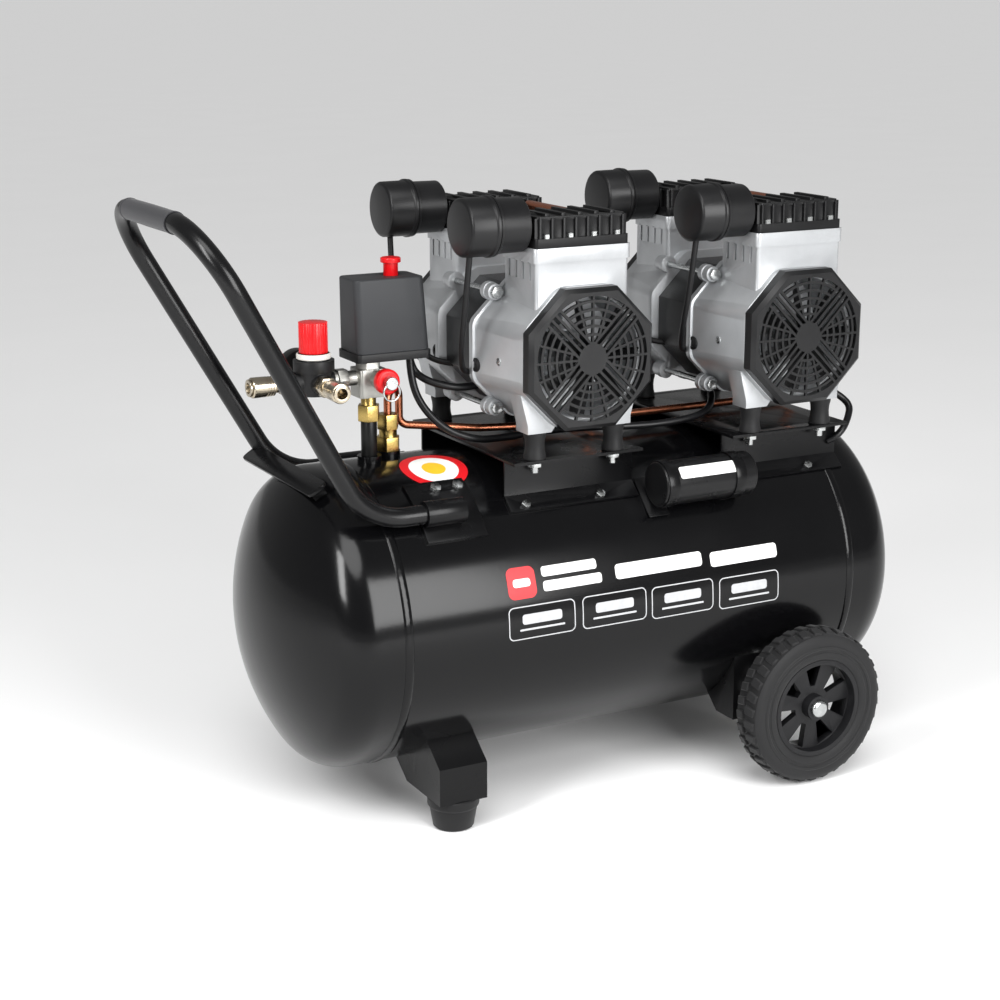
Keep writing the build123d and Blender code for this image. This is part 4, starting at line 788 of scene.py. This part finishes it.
# %% Wrapping a flat film round the tank
FILM, UPPER_FILM = 0.25, 0.4  # mm above the coat, for a film and for one that lies on another


def wrapped(piece, axis, radius, angle, lift_mm=FILM):
    """Bend a flat piece, drawn about its own middle, round a lying cylinder, from its top towards the front."""
    reach = radius + lift_mm * MM
    for vertex in piece.data.vertices:
        turn = radians(angle) - vertex.co.y / radius
        vertex.co = (axis.x + vertex.co.x, axis.y - reach * sin(turn), axis.z + reach * cos(turn))
    return piece


STRIP = 3.0  # mm, how finely a film is cut so that it can follow the round of the tank


def film_bar(name, width, height, line, corner):
    """A flat bar with rounded corners in fine strips, or only its outline when its line has a width."""
    clear()
    bpy.ops.mesh.primitive_circle_add(vertices=32, radius=1.0, fill_type="NOTHING", location=(0, 0, 0))
    bar = bpy.context.object
    bar.name = bar.data.name = name
    for vertex in bar.data.vertices:
        across, up = (1 if vertex.co.x > 0 else -1), (1 if vertex.co.y > 0 else -1)
        x = across * (width / 2 - corner) + vertex.co.x * corner
        y = up * (height / 2 - corner) + vertex.co.y * corner
        vertex.co = (x * MM, y * MM, 0.0)
    bpy.ops.object.mode_set(mode="EDIT")
    bpy.ops.mesh.select_all(action="SELECT")
    bpy.ops.mesh.edge_face_add()
    if line:
        bpy.ops.mesh.inset(thickness=line * MM)
        bpy.ops.mesh.delete(type="FACE")
    cuts = int(height // (2 * STRIP))
    for k in range(-cuts, cuts + 1):
        bpy.ops.mesh.select_all(action="SELECT")
        bpy.ops.mesh.bisect(plane_co=(0, STRIP * k * MM, 0), plane_no=(0, 1, 0))
    bpy.ops.mesh.select_all(action="SELECT")
    bpy.ops.mesh.normals_make_consistent(inside=False)
    bpy.ops.object.mode_set(mode="OBJECT")
    return bar


def film_disc(name, radius, hole=0.0):
    """A flat disc, or a ring if it has a hole, in fine rings."""
    clear()
    bpy.ops.mesh.primitive_circle_add(vertices=64, radius=radius * MM, fill_type="NGON", location=(0, 0, 0))
    disc = bpy.context.object
    disc.name = disc.data.name = name
    bpy.ops.object.mode_set(mode="EDIT")
    bpy.ops.mesh.select_all(action="SELECT")
    rings = max(2, int((radius - hole) // STRIP))
    for _ in range(rings):
        bpy.ops.mesh.inset(thickness=(radius - hole) / (rings if hole else rings + 1) * MM)
    if hole:
        bpy.ops.mesh.delete(type="FACE")
    bpy.ops.object.mode_set(mode="OBJECT")
    return disc


# %% Round mark on top
ROUND_MARK = TANK + Vector((-176.0 * MM, 0, 0))
ROUND_MARK_ANGLE = 15.0
# name, radius, hole, finish, height over the coat
for name, radius, hole, finish, lift in (
    ("mark_ring", 34.0, 25.0, "red_vinyl", 0.3),
    ("mark_field", 25.5, 0.0, "white_vinyl", FILM),
    ("mark_spot", 12.0, 0.0, "amber_vinyl", UPPER_FILM),
):
    disc = wrapped(film_disc(name, radius, hole), ROUND_MARK, TANK_RADIUS, ROUND_MARK_ANGLE, lift)
    dress(smooth(disc), finish, "frame", "black_paint")

# %% Bars and boxes on the side
# name, width, height, place along the tank, angle from the top, width of its line, finish, corner
FILMS = [
    ("mark_block", 31.0, 31.0, -134.0, 70.5, 0.0, "red_vinyl", 7.0),
    ("mark_block_bar", 19.0, 8.0, -134.0, 70.5, 0.0, "white_vinyl", 3.0),
    ("mark_line_1", 62.0, 10.0, -80.0, 67.6, 0.0, "white_vinyl", 3.0),
    ("mark_line_2", 66.0, 10.0, -78.0, 73.0, 0.0, "white_vinyl", 3.0),
    ("mark_title_1", 102.0, 15.0, 22.0, 72.0, 0.0, "white_vinyl", 4.0),
    ("mark_title_2", 82.0, 15.0, 124.0, 73.2, 0.0, "white_vinyl", 4.0),
]
for number, (x, angle) in enumerate(((-115.0, 85.2), (-33.0, 85.4), (47.0, 86.2), (128.0, 87.0))):
    FILMS += [
        (f"mark_box_{number}", 74.0, 33.0, x, angle, 1.1, "silver_vinyl", 6.0),
        (f"mark_value_{number}", 44.0, 10.0, x, angle - 1.2, 0.0, "silver_vinyl", 3.0),
        (f"mark_rule_{number}", 50.0, 2.0, x, angle + 2.6, 0.0, "silver_vinyl", 0.9),
    ]
for name, width, height, x, angle, line, finish, corner in FILMS:
    bar = film_bar(name, width, height, line, corner)
    lift = UPPER_FILM if name == "mark_block_bar" else FILM
    wrapped(bar, TANK + Vector((x * MM, 0, 0)), TANK_RADIUS, angle, lift)
    dress(smooth(bar), finish, "frame", "black_paint")
low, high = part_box("capacitor_cases")
capacitor_radius = (high.z - low.z) / 2
capacitor_axis = Vector(((low.x + high.x) / 2, low.y + capacitor_radius, (low.z + high.z) / 2))
bar = film_bar("mark_capacitor", 76.0, 13.0, 0.0, 3.0)
dress(smooth(wrapped(bar, capacitor_axis, capacitor_radius, 52.0)), "white_vinyl", "frame", "black_plastic")
print(len(FILMS) + 4, "marks")

# %% [markdown]
# ## Floor and light
# A plain pale floor and soft light. A broad sun lights everything evenly, and two large soft boxes draw the long
# soft bands that show how round and how glossy the tank is.

# %% Floor
clear()
bpy.ops.mesh.primitive_plane_add(size=400.0, location=(0, 0, -0.0006))
floor = bpy.context.object
floor.name = "floor"
paper, tree, shader, place = start_material("pale_paper", {"Roughness": 0.9, "Specular IOR Level": 0.1})
fibres = add_node(tree, "ShaderNodeTexNoise", None, {"Scale": 3.0, "Detail": 2.0}, {"Vector": place})
tone = add_node(tree, "ShaderNodeMix", {"data_type": "RGBA"}, {"A": linear("f2f2f2"), "B": linear("f5f5f5")},
                {"Factor": fibres.outputs["Fac"]})
tree.links.new(tone.outputs["Result"], shader.inputs["Base Color"])
floor.data.materials.append(paper)

world = bpy.data.worlds.new("studio")
world.use_nodes = True
world.node_tree.nodes["Background"].inputs["Color"].default_value = linear("ffffff")
world.node_tree.nodes["Background"].inputs["Strength"].default_value = 0.28
bpy.context.scene.world = world

sun_data = bpy.data.lights.new("broad_sun", "SUN")
sun_data.energy, sun_data.angle = 1.6, radians(35)
sun = bpy.data.objects.new("broad_sun", sun_data)
sun.rotation_euler = Vector((-0.35, -0.55, 1.0)).to_track_quat("Z", "Y").to_euler()
bpy.context.scene.collection.objects.link(sun)


def soft_box(name, at, target, size, power):
    """A rectangular area light that looks at a point."""
    data = bpy.data.lights.new(name, "AREA")
    data.shape, data.size, data.size_y, data.energy = "RECTANGLE", size[0], size[1], power
    box = bpy.data.objects.new(name, data)
    box.location = at
    box.rotation_euler = (Vector(at) - Vector(target)).to_track_quat("Z", "Y").to_euler()
    bpy.context.scene.collection.objects.link(box)


soft_box("left_soft_box", (-1.8, -0.8, 1.3), (-0.3, -0.1, 0.25), (0.4, 1.2), 30)
soft_box("front_soft_box", (0.36, -2.0, 1.0), (0.36, 0.0, 0.6), (1.2, 1.3), 50)
bpy.context.scene.view_settings.view_transform = "Standard"
